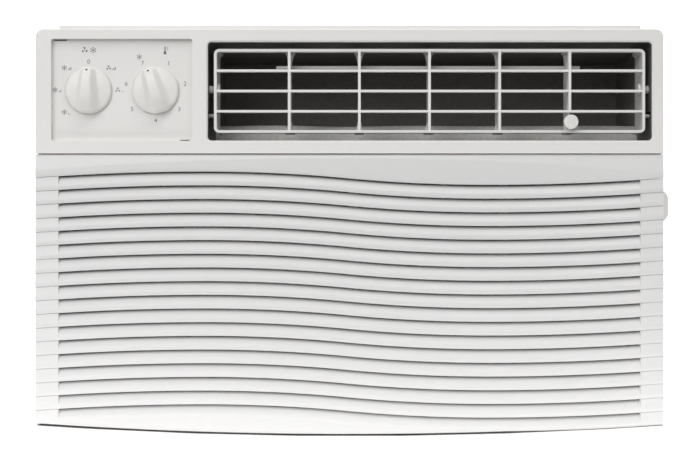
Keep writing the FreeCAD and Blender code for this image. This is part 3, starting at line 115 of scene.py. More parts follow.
def stage_sheet(name, corners, tone, glow):
    """A sheet of the studio that may shine as well as reflect."""
    mesh = bpy.data.meshes.new(name)
    mesh.from_pydata(corners, [], [(0, 1, 2, 3)])
    sheet = bpy.data.objects.new(name, mesh)
    bpy.context.scene.collection.objects.link(sheet)
    finish = surface(name, (tone, tone, tone), 0.0, 1, 0.9)
    shader = finish.node_tree.nodes["Principled BSDF"]
    shader.inputs["Emission Color"].default_value = (1, 1, 1, 1)
    shader.inputs["Emission Strength"].default_value = glow
    mesh.materials.append(finish)


def level_corners(near, far):
    """Corners of a level strip of the studio's ground."""
    return [(-STAGE_REACH, near, 0), (STAGE_REACH, near, 0), (STAGE_REACH, far, 0), (-STAGE_REACH, far, 0)]


def make_stage():
    """A shining floor and backdrop, a dark apron in front of them, a white surround and soft lights."""
    apron = FRONT - APRON_GAP
    stage_sheet("floor", level_corners(apron, STAGE_BACK), 0.8, 0.75)
    stage_sheet("apron", level_corners(-STAGE_REACH, apron), 0.12, 0)
    stage_sheet("backdrop", [(-STAGE_REACH, STAGE_BACK, 0), (STAGE_REACH, STAGE_BACK, 0),
                             (STAGE_REACH, STAGE_BACK, BACKDROP_HEIGHT),
                             (-STAGE_REACH, STAGE_BACK, BACKDROP_HEIGHT)], 0.8, 1.1)
    world = bpy.data.worlds.new("studio")
    world.use_nodes = True
    background = world.node_tree.nodes["Background"]
    background.inputs["Color"].default_value = (1, 1, 1, 1)
    background.inputs["Strength"].default_value = WORLD_STRENGTH
    bpy.context.scene.world = world
    bpy.context.scene.view_settings.view_transform = "Standard"
    for name, (place, size, power) in LAMPS.items():
        add_light(name, place, size, power)


# ---------------------------------------------------------------- materials


class Nodes:
    """A material's node tree, with short calls for what the finishes share."""

    def __init__(self, name):
        self.material = bpy.data.materials.new(name)
        self.material.use_nodes = True
        self.tree = self.material.node_tree
        self.shader = self.tree.nodes["Principled BSDF"]
        self.place = self.tree.nodes.new("ShaderNodeTexCoord").outputs["Object"]

    def add(self, kind, **values):
        """Add a node and set its properties."""
        node = self.tree.nodes.new(kind)
        for name, value in values.items():
            setattr(node, name, value)
        return node

    def link(self, source, target):
        """Join two sockets."""
        self.tree.links.new(source, target)

    def noise(self, scale, detail=3):
        """A cloudy pattern, as a factor."""
        node = self.add("ShaderNodeTexNoise")
        node.inputs["Scale"].default_value = scale
        node.inputs["Detail"].default_value = detail
        self.link(self.place, node.inputs["Vector"])
        return node.outputs["Fac"]

    def cells(self, scale):
        """A pattern of packed cells."""
        node = self.add("ShaderNodeTexVoronoi")
        node.inputs["Scale"].default_value = scale
        self.link(self.place, node.inputs["Vector"])
        return node

    def blend(self, factor, first, second):
        """A colour between two others."""
        node = self.add("ShaderNodeMix", data_type="RGBA")
        self.link(factor, node.inputs["Factor"])
        node.inputs["A"].default_value = (*first, 1)
        node.inputs["B"].default_value = (*second, 1)
        return node.outputs["Result"]

    def remap(self, source, low, high, start=0.3, end=0.7):
        """A factor stretched over another range."""
        node = self.add("ShaderNodeMapRange")
        self.link(source, node.inputs["Value"])
        for name, value in (("From Min", start), ("From Max", end), ("To Min", low), ("To Max", high)):
            node.inputs[name].default_value = value
        return node.outputs["Result"]

    def bump(self, height, depth, strength=1.0):
        """Relief on the surface, with its depth in metres."""
        node = self.add("ShaderNodeBump")
        node.inputs["Strength"].default_value = strength
        node.inputs["Distance"].default_value = depth
        self.link(height, node.inputs["Height"])
        self.link(node.outputs["Normal"], self.shader.inputs["Normal"])

    def set(self, **values):
        """Set sockets of the shader by name, with _ for a space."""
        for name, value in values.items():
            self.shader.inputs[name.replace("_", " ")].default_value = value


def shade(colour, amount):
    """The colour made lighter or darker, held within white."""
    return tuple(min(1, channel * amount) for channel in colour)


def surface(name, colour, spread, patch_scale, roughness, rough_spread=0.0, grain_scale=0, grain_depth=0,
            **values):
    """A finish with patchy colour, uneven gloss and a fine grain."""
    nodes = Nodes(name)
    nodes.set(Roughness=roughness, **values)
    if spread:
        tone = nodes.blend(nodes.noise(patch_scale), shade(colour, 1 - spread), shade(colour, 1 + spread))
        nodes.link(tone, nodes.shader.inputs["Base Color"])
    else:
        nodes.shader.inputs["Base Color"].default_value = (*colour, 1)
    if rough_spread:
        gloss = nodes.remap(nodes.noise(patch_scale * 7), roughness - rough_spread, roughness + rough_spread)
        nodes.link(gloss, nodes.shader.inputs["Roughness"])
    if grain_scale:
        nodes.bump(nodes.noise(grain_scale, 4), grain_depth)
    return nodes.material


def spangled(name, colour, scale):
    """Zinc-coated sheet: crystals of slightly different tone and gloss."""
    nodes = Nodes(name)
    nodes.set(Metallic=0.85, Roughness=0.42)
    crystals = nodes.cells(scale)
    split = nodes.add("ShaderNodeSeparateColor")
    nodes.link(crystals.outputs["Color"], split.inputs["Color"])
    tone = nodes.blend(split.outputs["Red"], shade(colour, 0.86), shade(colour, 1.1))
    nodes.link(tone, nodes.shader.inputs["Base Color"])
    nodes.link(nodes.remap(split.outputs["Green"], 0.34, 0.52, 0, 1), nodes.shader.inputs["Roughness"])
    nodes.bump(nodes.noise(900), 0.00002)
    return nodes.material


def beaded(name, colour, scale):
    """Moulded bead foam: packed cells with creased borders, each bead painted lighter at its middle and darker
    towards its crease as painted shade.
    """
    nodes = Nodes(name)
    nodes.set(Roughness=0.88)
    beads = nodes.cells(scale)
    # Painted shade: the colour darkens from each bead's middle towards the crease at its border.
    tone = nodes.blend(beads.outputs["Distance"], shade(colour, 1.06), shade(colour, 0.88))
    nodes.link(tone, nodes.shader.inputs["Base Color"])
    nodes.bump(beads.outputs["Distance"], -0.0003, 0.8)
    return nodes.material


def make_finishes():
    """One material for each slot of the record, and a few more for the added pieces."""
    return {
        "bezel_plastic": surface("bezel_plastic", (0.735, 0.722, 0.705), 0.012, 9, 0.46, 0.05, 1500, 0.00003),
        "grille_plastic": surface("grille_plastic", (0.655, 0.65, 0.646), 0.012, 9, 0.44, 0.05, 1500, 0.00003),
        "knob_plastic": surface("knob_plastic", (0.73, 0.72, 0.70), 0.01, 30, 0.36, 0.04, 2200, 0.00001),
        "louvre_plastic": surface("louvre_plastic", (0.74, 0.73, 0.71), 0.012, 14, 0.4, 0.04, 1800, 0.00002),
        "dark_plastic": surface("dark_plastic", (0.14, 0.143, 0.134), 0.08, 25, 0.55, 0.06, 1600, 0.00004),
        "painted_steel": surface("painted_steel", (0.68, 0.675, 0.655), 0.015, 5, 0.38, 0.05, 420, 0.00005),
        "black_enamel": surface("black_enamel", (0.012, 0.012, 0.013), 0.15, 12, 0.3, 0.08, 300, 0.00006),
        "rubber": surface("rubber", (0.02, 0.02, 0.02), 0.12, 60, 0.75, 0.08, 1400, 0.00005),
        "control_plastic": surface("control_plastic", (0.03, 0.03, 0.032), 0.1, 40, 0.5, 0.06, 1500, 0.00003),
        "copper": surface("copper", (0.78, 0.34, 0.19), 0.12, 45, 0.3, 0.1, 700, 0.00001, Metallic=1.0),
        "fin_aluminium": surface("fin_aluminium", (0.72, 0.73, 0.74), 0.05, 20, 0.36, 0.06, Metallic=1.0),
        "can_aluminium": surface("can_aluminium", (0.66, 0.67, 0.68), 0.04, 30, 0.28, 0.06, 500, 0.00001,
                                 Metallic=1.0),
        "zinc_screw": surface("zinc_screw", (0.62, 0.62, 0.60), 0.08, 300, 0.3, 0.08, Metallic=1.0),
        "filter_net": surface("filter_net", (0.06, 0.07, 0.08), 0.1, 200, 0.6, 0.05),
        "galvanised_steel": spangled("galvanised_steel", (0.56, 0.57, 0.58), 90),
        "eps_foam": beaded("eps_foam", (0.27, 0.25, 0.242), 330),
        # Painted light: light_foam is a lighter copy of eps_foam, standing in for the light that falls on the
        # ridge at the front of the duct.
        "light_foam": beaded("light_foam", (0.64, 0.635, 0.62), 330),
        "legend_ink": surface("legend_ink", (0.17, 0.17, 0.2), 0.05, 300, 0.6, 0.05),
    }


def dress_frame(finishes):
    """Give every CAD node the finish of its slot."""
    for entry in frame["record"]["subparts"]:
        node = frame["nodes"][entry["node"]]
        node.data.materials.clear()
        node.data.materials.append(finishes[entry["material_slot"]])


# ---------------------------------------------------------------- mesh helpers

SLOT_OF = {entry["node"]: entry["material_slot"] for entry in frame["record"]["subparts"]}
BODY_OF = {node: body for body, nodes in frame["record"]["behaviour"]["bodies"].items() for node in nodes}
WELD_DISTANCE = 1e-6


def finish_mesh(work, name, slot, body, sharp_angle=35):
    """Turn a bmesh into a smooth-shaded piece that rides on a body."""
    mesh = bpy.data.meshes.new(name)
    bmesh.ops.recalc_face_normals(work, faces=work.faces)
    work.to_mesh(mesh)
    work.free()
    for face in mesh.polygons:
        face.use_smooth = True
    mesh.set_sharp_from_angle(angle=math.radians(sharp_angle))
    piece = bpy.data.objects.new(name, mesh)
    bpy.context.scene.collection.objects.link(piece)
    mesh.materials.append(FINISHES[slot])
    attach(piece, body)
    return piece


def refine(node, bevel, segments=2, sharp=28):
    """A copy of a CAD node with its hard edges rounded over."""
    work = bmesh.new()
    work.from_mesh(frame["nodes"][node].data)
    bmesh.ops.remove_doubles(work, verts=work.verts, dist=WELD_DISTANCE)
    bmesh.ops.dissolve_limit(work, angle_limit=math.radians(0.8), verts=work.verts, edges=work.edges)
    edges = [edge for edge in work.edges
             if len(edge.link_faces) == 2 and edge.calc_face_angle(0) > math.radians(sharp)]
    bmesh.ops.bevel(work, geom=edges, offset=bevel * MM, segments=segments, profile=0.5,
                    affect="EDGES", clamp_overlap=True)
    piece = finish_mesh(work, node + "_moulded", SLOT_OF[node], BODY_OF[node], 50)
    normals = piece.modifiers.new("normals", "WEIGHTED_NORMAL")
    normals.keep_sharp = True
    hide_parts(node)
    return piece


def add_box(work, low, high):
    """Add an axis-aligned box to a bmesh."""
    size = Vector(high) - Vector(low)
    middle = (Vector(high) + Vector(low)) / 2
    bmesh.ops.create_cube(work, size=1, matrix=Matrix.Translation(middle) @ Matrix.Diagonal((*size, 1)))


def skin(work, rows):
    """Join closed rows of equally many vertices with bands of quads."""
    for first, second in zip(rows, rows[1:]):
        for index in range(len(first)):
            following = (index + 1) % len(first)
            work.faces.new((first[index], first[following], second[following], second[index]))


def add_loft(work, rings):
    """Skin closed rings of points and cap both ends."""
    rows = [[work.verts.new(point) for point in ring] for ring in rings]
    skin(work, rows)
    work.faces.new(list(reversed(rows[0])))
    work.faces.new(rows[-1])


# ---------------------------------------------------------------- intake grille

SLOTS = 18
SLOT_PITCH = 10.24
SLOT_OPENING = 1.4
SEAM_GAP = 0.6
FIRST_SLOT_DROP = 19.2
WAVE_RISE = 5.0
WAVE_REACH = 106.0
WAVE_SHIFT = -2.0
WAVE_FALL = 4.64
CREASE_DROP = 2.9
CREASE_SLOPE = 0.005
CREASE_BEND = 1.84e-4
GRILLE_MARGIN = 17.2
GRILLE_BACK = 11.5
BAND_BACK = 3.0
EDGE_EASE = 0.5
STATION_STEP = 5.3
STATION_INSET = 0.2
LAST_SLAT_FOOT = 8.2
RIB_REACH = 72.0
RIB_HALF = 1
RIB_FRONT = 7.6
RIB_BACK = 11.6
RAIL_END = 9.5
RAIL_MIDDLE = 1.4
RAIL_GROOVE = 1.5
GRILLE_HALF = GRILLE_HIGH.x / MM
GRILLE_TOP = GRILLE_HIGH.z / MM
OUTER_RUN = GRILLE_HALF - WAVE_REACH + WAVE_SHIFT
WAVE_OUTER_RADIUS = (OUTER_RUN ** 2 + WAVE_FALL ** 2) / (2 * WAVE_FALL)
FIRST_SLOT = GRILLE_TOP + SEAM_GAP - FIRST_SLOT_DROP

# Depth behind the front plane, and height over the slot's middle line, of one slat's outline.
OPEN_SLAT = [(GRILLE_BACK, 0.1), (6.4, 0.1), (5.2, 0.08), (4.5, -0.3), (3.6, -1.2), (2.7, -2.4), (1.75, -3.9),
             (0.95, -5.1), (0.5, -5.85), (0.36, -6.4), (0.4, -7.2), (0.62, -8.5), (0.85, -9.25), (1.1, -9.55),
             (1.5, -9.62), (2.5, -9.6), (3.4, -5.6), (8.4, -2.1), (GRILLE_BACK, -2.0)]
SHUT_SLAT = [(GRILLE_BACK, 0.6), (4.0, 0.62), (1.75, 0.6), (1.35, 0.35), (1.3, -0.6), (1.25, -1.7), (1.1, -2.9),
             (0.85, -4.3), (0.6, -5.4), (0.45, -6.4), (0.4, -7.2), (0.62, -8.5), (0.85, -9.2), (1.1, -9.45),
             (1.35, -9.58), (3.0, -9.6), (5.0, -9.6), (8.0, -9.6), (GRILLE_BACK, -9.6)]


def wave(x):
    """Height of the wave over its middle line: an arc over the crest, an arc under the trough."""
    side = 1 if x > WAVE_SHIFT else -1
    reach = abs(x - WAVE_SHIFT)
    inner_radius = (WAVE_REACH ** 2 + WAVE_RISE ** 2) / (2 * WAVE_RISE)
    radius = inner_radius if reach < WAVE_REACH else WAVE_OUTER_RADIUS
    away = WAVE_REACH - reach
    return -side * (WAVE_RISE - radius + math.sqrt(radius ** 2 - away ** 2))


def smile(x):
    """Height of the shallow arc under the grille."""
    return RAIL_MIDDLE + (RAIL_END - RAIL_MIDDLE) * (x / GRILLE_HALF) ** 2 + RAIL_GROOVE


def crown(x):
    """Height of the soft crease across the band over the first slot."""
    return GRILLE_TOP - CREASE_DROP - CREASE_BEND * x * x - CREASE_SLOPE * x


def stations():
    """Places along the grille, with a close pair at each end of the slots."""
    inner = GRILLE_HALF - GRILLE_MARGIN
    count = int(2 * inner / STATION_STEP)
    places = [(-inner + STATION_INSET + 2 * (inner - STATION_INSET) * index / count, 0)
              for index in range(count + 1)]
    margin = [(inner, 1), (inner + 0.5 * GRILLE_MARGIN, 1), (GRILLE_HALF - 0.4, 1), (GRILLE_HALF, 1)]
    return [(-x, shut) for x, shut in reversed(margin)] + places + margin


def ring_at(x, outline, lift):
    """One cross-section of the grille, eased back at the grille's outer edges."""
    ease = EDGE_EASE if GRILLE_HALF - abs(x) < 0.01 else 0
    return [(x * MM, FRONT + max(depth, ease) * MM, (lift + height) * MM) for depth, height in outline]


def band_outline(x):
    """Outline of the band between the seam and the first slot, with its soft crease."""
    low = FIRST_SLOT + wave(x) + SLOT_OPENING / 2
    crease = crown(x)
    return [(BAND_BACK, low), (1.5, low - 0.02), (1.1, low + 0.1), (0.85, low + 0.4), (0.55, low + 1.6),
            (0.42, (low + crease) / 2), (0.34, crease - 0.8), (0.36, crease), (0.5, crease + 0.7),
            (1.3, GRILLE_TOP - 0.9), (1.6, GRILLE_TOP - 0.3), (2.1, GRILLE_TOP),
            (GRILLE_BACK, GRILLE_TOP), (GRILLE_BACK, GRILLE_TOP - 2), (BAND_BACK, GRILLE_TOP - 2)]


def foot_outline(x):
    """Outline of the strip between the last slat and the arc under the grille."""
    high = FIRST_SLOT - (SLOTS - 1) * SLOT_PITCH + wave(x) - LAST_SLAT_FOOT
    foot = smile(x)
    return [(BAND_BACK, high), (0.9, high), (0.8, (high + foot) / 2), (0.8, foot + 0.5), (1.0, foot + 0.15),
            (1.4, foot), (BAND_BACK, foot)]


def make_grille():
    """The whole intake grille as lofts along the wave."""
    work = bmesh.new()
    places = stations()
    for slot in range(SLOTS):
        middle = FIRST_SLOT - slot * SLOT_PITCH
        add_loft(work, [ring_at(x, SHUT_SLAT if shut else OPEN_SLAT, middle + wave(x)) for x, shut in places])
    for outline in (band_outline, foot_outline):
        add_loft(work, [ring_at(x, outline(x), 0) for x, _ in places])
    for side in (-1, 1):
        x = side * RIB_REACH + WAVE_SHIFT / 2
        add_box(work, ((x - RIB_HALF) * MM, FRONT + RIB_FRONT * MM, RAIL_END * MM),
                ((x + RIB_HALF) * MM, FRONT + RIB_BACK * MM, (GRILLE_TOP - 1) * MM))
    piece = finish_mesh(work, "grille_face", "grille_plastic", "root", 40)
    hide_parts("intake_grille")


# ---------------------------------------------------------------- controls

KNOB_RADIUS = 17.5
KNOB_LENGTH = 11.5
KNOB_RINGS = 40
KNOB_SEGMENTS = 128
DOME_EDGE = 2.5
DOME_RISE = 1.7
GRIP_HALF = 2.3
GRIP_FLARE = 1.3
GRIP_SLOPE = 3.4
GRIP_SLOPE_FLARE = 4.2
CREST_FALL = 6.6
POINTER_INSET = 3.1
POINTER_RADIUS = 0.85
TEMP_KNOB_TURN = math.radians(-18)
INK_DEPTH = 0.06
NUMERAL_SIZE = 4.6
SETTINGS = 7


def knob_height(x, z):
    """Height of the knob's face over its skirt, in millimetres: a dome with an arched grip across it."""
    reach = math.hypot(x, z) / KNOB_RADIUS
    dome = DOME_EDGE + DOME_RISE * (1 - reach ** 2)
    half = GRIP_HALF + GRIP_FLARE * (1 - z / KNOB_RADIUS) / 2
    slope = GRIP_SLOPE + GRIP_SLOPE_FLARE * (1 - z / KNOB_RADIUS) / 2
    share = min(1, max(0, (half + slope - abs(x)) / slope))
    grip = share * share * (3 - 2 * share)
    crest = KNOB_LENGTH - CREST_FALL * reach ** 3
    edge = min(1, max(0, (1.0 - reach) / 0.12))
    return dome + (crest - dome) * grip * (0.35 + 0.65 * edge * (2 - edge))


def make_knob(node, turn):
    """A moulded knob: a polar grid raised to the knob's height, with a rounded skirt and a pointer."""
    low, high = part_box(node)
    centre = (low + high) / 2
    spin = Matrix.Rotation(turn, 3, "Y")
    work = bmesh.new()

    def vertex(x, depth, z):
        point = spin @ Vector((x * MM, 0, z * MM))
        return work.verts.new((centre.x + point.x, high.y - depth * MM, centre.z + point.z))

    def around(radius):
        angles = [2 * math.pi * step / KNOB_SEGMENTS for step in range(KNOB_SEGMENTS)]
        return [(radius * math.sin(angle), radius * math.cos(angle)) for angle in angles]

    rows = []
    for ring in range(1, KNOB_RINGS + 1):
        fall = 1.1 * max(0, ring / KNOB_RINGS - 0.93) / 0.07
        rows.append([vertex(x, max(0.6, knob_height(x, z) - fall), z)
                     for x, z in around(KNOB_RADIUS * 0.995 * ring / KNOB_RINGS)])
    for depth, shrink in ((1.6, 0), (0.0, 0.1)):
        rows.append([vertex(x, depth, z) for x, z in around(KNOB_RADIUS - shrink)])
    skin(work, rows)
    top = vertex(0, knob_height(0, 0), 0)
    for step in range(KNOB_SEGMENTS):
        work.faces.new((rows[0][step], rows[0][(step + 1) % KNOB_SEGMENTS], top))
    work.faces.new(rows[-1])
    piece = finish_mesh(work, node + "_moulded", "knob_plastic", BODY_OF[node], 60)
    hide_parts(node)

    mark_z = KNOB_RADIUS - POINTER_INSET
    place = spin @ Vector((0, 0, mark_z * MM))
    face = high.y - knob_height(0, mark_z) * MM
    spot = Matrix.Translation((centre.x + place.x, face, centre.z + place.z)) @ Matrix.Rotation(
        math.pi / 2, 4, "X")
    work = bmesh.new()
    bmesh.ops.create_cone(work, cap_ends=True, segments=24, radius1=POINTER_RADIUS * MM,
                          radius2=(POINTER_RADIUS - 0.05) * MM, depth=0.5 * MM, matrix=spot)
    finish_mesh(work, node + "_pointer", "control_plastic", BODY_OF[node])


def flat_stroke(work, start, end, thickness):
    """A thin flat bar between two points of the panel's face: ink for the legends, painted shadow for the gap
    strips.
    """
    start, end = Vector(start), Vector(end)
    along = end - start
    across = Vector((-along.y, along.x)).normalized() * thickness / 2
    corners = [start + across, end + across, end - across, start - across]
    face = PANEL_LOW.y
    back = [work.verts.new((corner.x * MM, face, corner.y * MM)) for corner in corners]
    front = [work.verts.new((corner.x * MM, face - INK_DEPTH * MM, corner.y * MM)) for corner in corners]
    work.faces.new(front)
    work.faces.new(list(reversed(back)))
    skin(work, [back, front])


def polar(centre, degrees, reach):
    """A point around a centre, with the angle clockwise from the top."""
    angle = math.radians(degrees)
    return (centre[0] + reach * math.sin(angle), centre[1] + reach * math.cos(angle))


def snowflake(work, centre, size):
    """Six forked spokes, for cooling."""
    for spoke in range(6):
        tip = polar(centre, 60 * spoke, size)
        fork = polar(centre, 60 * spoke, size * 0.6)
        flat_stroke(work, centre, tip, size * 0.16)
        for lean in (-35, 35):
            flat_stroke(work, fork, polar(fork, 60 * spoke + lean, size * 0.36), size * 0.13)


def fan_sign(work, centre, size):
    """Three blades around a hub, for fan only."""
    for blade in range(3):
        middle = polar(centre, 120 * blade, size * 0.55)
        flat_stroke(work, polar(middle, 120 * blade - 70, size * 0.42),
                    polar(middle, 120 * blade + 70, size * 0.30), size * 0.5)
    flat_stroke(work, (centre[0] - size * 0.16, centre[1]), (centre[0] + size * 0.16, centre[1]), size * 0.32)


def level_bars(work, centre, count, size):
    """One to three rising bars that say how strong a setting is; the others are stubs."""
    for bar in range(3):
        x = centre[0] + (bar - 1) * size * 0.55
        height = size * (0.5 + 0.45 * bar if bar < count else 0.15)
        flat_stroke(work, (x, centre[1]), (x, centre[1] + height), size * 0.3)


def thermometer(work, x, z):
    """A stem with a bulb and three ticks beside it."""
    flat_stroke(work, (x, z - 2.2), (x, z + 2.6), 0.9)
    flat_stroke(work, (x - 1, z - 2.2), (x + 1, z - 2.2), 2.0)
    for tick in range(3):
        flat_stroke(work, (x + 1.2, z + tick * 1.1), (x + 2.4, z + tick * 1.1), 0.35)


def numeral(name, text, centre):
    """A raised numeral of ink on the panel."""
    curve = bpy.data.curves.new(name, "FONT")
    curve.body = text
    curve.size = NUMERAL_SIZE * MM
    curve.align_x = "CENTER"
    curve.align_y = "CENTER"
    curve.extrude = INK_DEPTH / 2 * MM
    curve.resolution_u = 4
    curve.materials.append(FINISHES["legend_ink"])
    piece = bpy.data.objects.new(name, curve)
    piece.location = (centre[0] * MM, PANEL_LOW.y - INK_DEPTH / 2 * MM, centre[1] * MM)
    piece.rotation_euler = (math.pi / 2, 0, 0)
    bpy.context.scene.collection.objects.link(piece)
    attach(piece, "root")


def make_legends():
    """Generic dial marks: numerals for the temperature, icons for the modes."""
    centres = []
    for node in ("switch_shaft", "thermostat_shaft"):
        low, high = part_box(node)
        centres.append(((low.x + high.x) / 2 / MM, (low.z + high.z) / 2 / MM))
    mode, temp = centres
    for index in range(SETTINGS):
        angle = 360 / SETTINGS * (index + 0.5)
        numeral(f"numeral_{index + 1}", str(index + 1), polar(temp, angle, 22.6))
    numeral("numeral_0", "0", polar(mode, 0, 21.5))
    work = bmesh.new()
    for sign, size, marks in ((fan_sign, 1.9, ((45, 3), (90, 1))),
                              (snowflake, 2.0, ((-45, 3), (-90, 2), (-135, 1)))):
        for angle, strength in marks:
            x, z = polar(mode, angle, 23.5)
            sign(work, (x - 1.6, z + 0.4), size)
            level_bars(work, (x + 2.4, z - 1.2), strength, 1.7)
    snowflake(work, polar(temp, -26, 28), 2.0)
    top = PANEL_HIGH.z / MM - 9.5
    fan_sign(work, (mode[0] - 3.0, top), 2.4)
    snowflake(work, (mode[0] + 3.4, top), 2.4)
    thermometer(work, temp[0] + 7, top)
    finish_mesh(work, "dial_icons", "legend_ink", "root")


def make_painted_gap_shadows():
    """Dark strips beside two corners of the panel, where its snaps catch: painted shadow for the shade inside
    the gaps there.
    """
    work = bmesh.new()
    edge = 1.5
    left, right = PANEL_LOW.x / MM + edge, PANEL_HIGH.x / MM - edge
    low, high = PANEL_LOW.z / MM + edge, PANEL_HIGH.z / MM - edge
    # Painted shadow: flat dark strips on the panel's face, where the gaps at the snaps show shade.
    flat_stroke(work, (left + 1.5, high - 0.6), (left + 11, high - 0.6), 0.9)
    flat_stroke(work, (right - 9.5, low + 0.6), (right - 2.5, low + 0.6), 0.8)
    finish_mesh(work, "painted_gap_shadows", "control_plastic", "root")


# ---------------------------------------------------------------- coils, foam, net and screws

FIN_PITCH = 1.9
FIN_THICKNESS = 0.18
FIN_UNEVENNESS = 0.25
RIDGE_STEPS = 120
RIDGE_ARC_STEPS = 24
RIDGE_AXIS_HEIGHT = 5
RIDGE_CUT = 0.9
RIDGE_FOOT_INSET = 2
NET_PITCH = 1.1
THREAD_HALF = 0.19
SCREW_HEAD_RADIUS = 3.6
SCREW_HEAD_HEIGHT = 1.4
SCREW_SHANK_RADIUS = 1.8
SCREW_LENGTH = 5.0
SCREW_SEGMENTS = 32

def make_fins(node):
    """A stack of thin, slightly uneven sheets in place of a solid coil block."""
    low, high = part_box(node)
    work = bmesh.new()
    count = int((high.x - low.x) / (FIN_PITCH * MM))
    half = FIN_THICKNESS * MM / 2
    rng = random.Random(7)
    for index in range(count + 1):
        x = low.x + half + (high.x - low.x - 2 * half) * index / count
        lean = rng.uniform(0, FIN_UNEVENNESS) * MM
        add_box(work, (x - half, low.y + lean, low.z), (x + half, high.y - lean, high.z))
    piece = finish_mesh(work, node + "_sheets", "fin_aluminium", "root")
    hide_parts(node)


def make_ridge():
    """The foam ridge behind the louvre, with the uneven surface of a cut block."""
    low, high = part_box("duct_lip")
    rng = random.Random(11)
    waves = [(rng.uniform(20, 90), rng.uniform(0, 6.3), rng.uniform(0.2, 1.0)) for _ in range(9)]
    axis_y = (low.y + high.y) / 2
    axis_z = low.z + RIDGE_AXIS_HEIGHT * MM
    radius = high.z - axis_z
    rings = []
    for index in range(RIDGE_STEPS + 1):
        x = low.x + (high.x - low.x) * index / RIDGE_STEPS
        ring = []
        for step in range(RIDGE_ARC_STEPS + 1):
            angle = math.radians(-25 + 230 * step / RIDGE_ARC_STEPS)
            lump = sum(size * math.sin(rate * x + start + 2.1 * math.sin(angle * 1.7 + rate))
                       for rate, start, size in waves) / 4
            reach = radius - RIDGE_CUT * (1 + lump) * MM
            ring.append((x, axis_y - reach * math.cos(angle), max(low.z, axis_z + reach * math.sin(angle))))
        ring.append((x, high.y - RIDGE_FOOT_INSET * MM, low.z))
        ring.append((x, low.y + RIDGE_FOOT_INSET * MM, low.z))
        rings.append(ring)
    work = bmesh.new()
    add_loft(work, rings)
    # Painted light: the ridge takes the lighter copy of the duct foam, for the light on the front of the duct.
    piece = finish_mesh(work, "duct_lip_cut", "light_foam", "root", 60)
    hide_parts("duct_lip")


def thread_places(start, end):
    """Middles of the net's threads between two edges."""
    half, pitch = THREAD_HALF * MM, NET_PITCH * MM
    places = [start + half + index * pitch for index in range(int((end - start) / pitch) + 1)]
    return [place for place in places if place + half < end]


def make_net():
    """The filter's woven net: level threads in front of upright ones, across its frame."""
    low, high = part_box("filter_mesh")
    work = bmesh.new()
    half = THREAD_HALF * MM
    middle = (low.y + high.y) / 2
    for z in thread_places(low.z, high.z):
        add_box(work, (low.x, middle - half, z - half), (high.x, middle, z + half))
    for x in thread_places(low.x, high.x):
        add_box(work, (x - half, middle, low.z), (x + half, middle + half, high.z))
    piece = finish_mesh(work, "filter_net", "filter_net", "filter")
    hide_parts("filter_mesh")


def mesh_object(name, work):
    """Turn a bmesh into a plain object of the scene."""
    mesh = bpy.data.meshes.new(name)
    work.to_mesh(mesh)
    work.free()
    item = bpy.data.objects.new(name, mesh)
    bpy.context.scene.collection.objects.link(item)
    return item


def screw_mesh():
    """A pan-head screw along -Z with a cross recess; the head's seat is at the origin."""
    radius, head, shank, length = SCREW_HEAD_RADIUS, SCREW_HEAD_HEIGHT, SCREW_SHANK_RADIUS, SCREW_LENGTH
    profile = [(radius * 0.55, head * 0.97), (radius * 0.85, head * 0.72), (radius, head * 0.25),
               (radius, 0), (shank, 0), (shank, -length + 0.8), (shank * 0.4, -length)]
    angles = [2 * math.pi * step / SCREW_SEGMENTS for step in range(SCREW_SEGMENTS)]
    turned = bmesh.new()
    add_loft(turned, [[(reach * math.cos(angle) * MM, reach * math.sin(angle) * MM, z * MM) for angle in angles]
                      for reach, z in profile])
    bmesh.ops.recalc_face_normals(turned, faces=turned.faces)
    cross = bmesh.new()
    arm = radius * 0.62 * MM
    for wide, narrow in ((arm, arm * 0.24), (arm * 0.24, arm)):
        add_box(cross, (-wide, -narrow, head * 0.25 * MM), (wide, narrow, head * 2 * MM))
    body, tool = mesh_object("screw", turned), mesh_object("recess", cross)
    trim = body.modifiers.new("recess", "BOOLEAN")
    trim.object = tool
    trim.operation = "DIFFERENCE"
    trim.use_self = True
    bpy.context.view_layer.update()
    result = bpy.data.meshes.new_from_object(body.evaluated_get(bpy.context.evaluated_depsgraph_get()))
    for item in (body, tool):
        bpy.data.objects.remove(item)
    return result


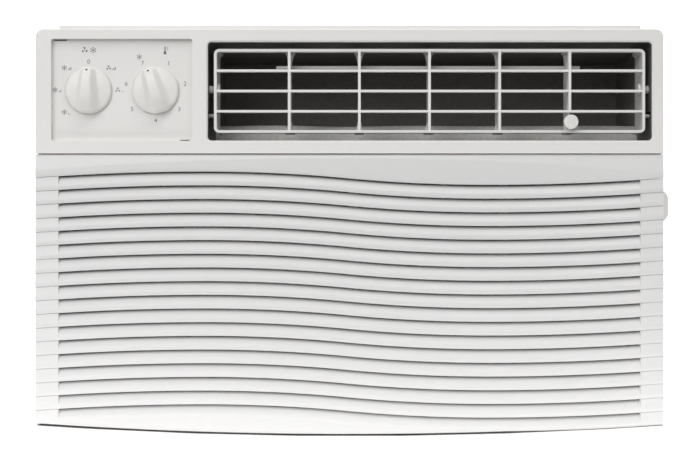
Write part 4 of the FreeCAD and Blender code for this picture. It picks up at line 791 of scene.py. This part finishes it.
def loose_boxes(node):
    """Lowest and highest corners of each loose island of a CAD node, in order of place."""
    work = bmesh.new()
    work.from_mesh(frame["nodes"][node].data)
    bmesh.ops.remove_doubles(work, verts=work.verts, dist=WELD_DISTANCE)
    boxes = []
    waiting = set(work.verts)
    while waiting:
        island, edge = [], [waiting.pop()]
        while edge:
            vertex = edge.pop()
            island.append(vertex.co.copy())
            near = {link.other_vert(vertex) for link in vertex.link_edges} & waiting
            waiting -= near
            edge += near
        boxes.append([Vector([pick(point[axis] for point in island) for axis in range(3)])
                      for pick in (min, max)])
    work.free()
    return sorted(boxes, key=lambda box: tuple(box[0]))


def make_screws(node):
    """Cross-head screws wherever the CAD node has one; side screws point sideways, the others up."""
    screw = screw_mesh()
    made = bmesh.new()
    for number, (low, high) in enumerate(loose_boxes(node)):
        place = (low + high) / 2
        if abs(place.x) > abs(CAD_BOX[0][0]) * 0.9:
            axis = Vector((math.copysign(1, place.x), 0, 0))
            place.x = (high.x if place.x > 0 else low.x) - axis.x * SCREW_HEAD_HEIGHT * MM
        else:
            axis = Vector((0, 0, 1))
            place.z = high.z - SCREW_HEAD_HEIGHT * MM
        turn = Vector((0, 0, 1)).rotation_difference(axis).to_matrix().to_4x4()
        copy = screw.copy()
        copy.transform(Matrix.Translation(place) @ turn @ Matrix.Rotation(0.7 * number, 4, "Z"))
        made.from_mesh(copy)
    piece = finish_mesh(made, node + "_heads", "zinc_screw", "root", 30)
    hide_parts(node)


# ---------------------------------------------------------------- the model

# Radius of the rounded edges, in millimetres, of each moulded or pressed node.
BEVELS = {
    "front_bezel": 0.35, "control_panel": 0.2, "outlet_collar": 0.3,
    "louvre_frame": 0.35, "louvre_pivots": 0.25, "vane_tab": 0.2, "vane_link": 0.15,
    "top_rail": 0.3, "rear_guard": 0.25, "base_pan": 0.3, "filter_frame": 0.4,
    "vane_1": 0.2, "vane_2": 0.2, "vane_3": 0.2, "vane_4": 0.2, "vane_5": 0.2,
}

FINISHES = make_finishes()
make_camera()
make_stage()
dress_frame(FINISHES)
make_grille()
make_knob("mode_knob", 0)
make_knob("temp_knob", TEMP_KNOB_TURN)
make_legends()
make_painted_gap_shadows()
make_fins("condenser_fins")
make_fins("evaporator_fins")
make_ridge()
make_net()
make_screws("bezel_screws")
make_screws("cabinet_screws")
for node, bevel in BEVELS.items():
    refine(node, bevel)
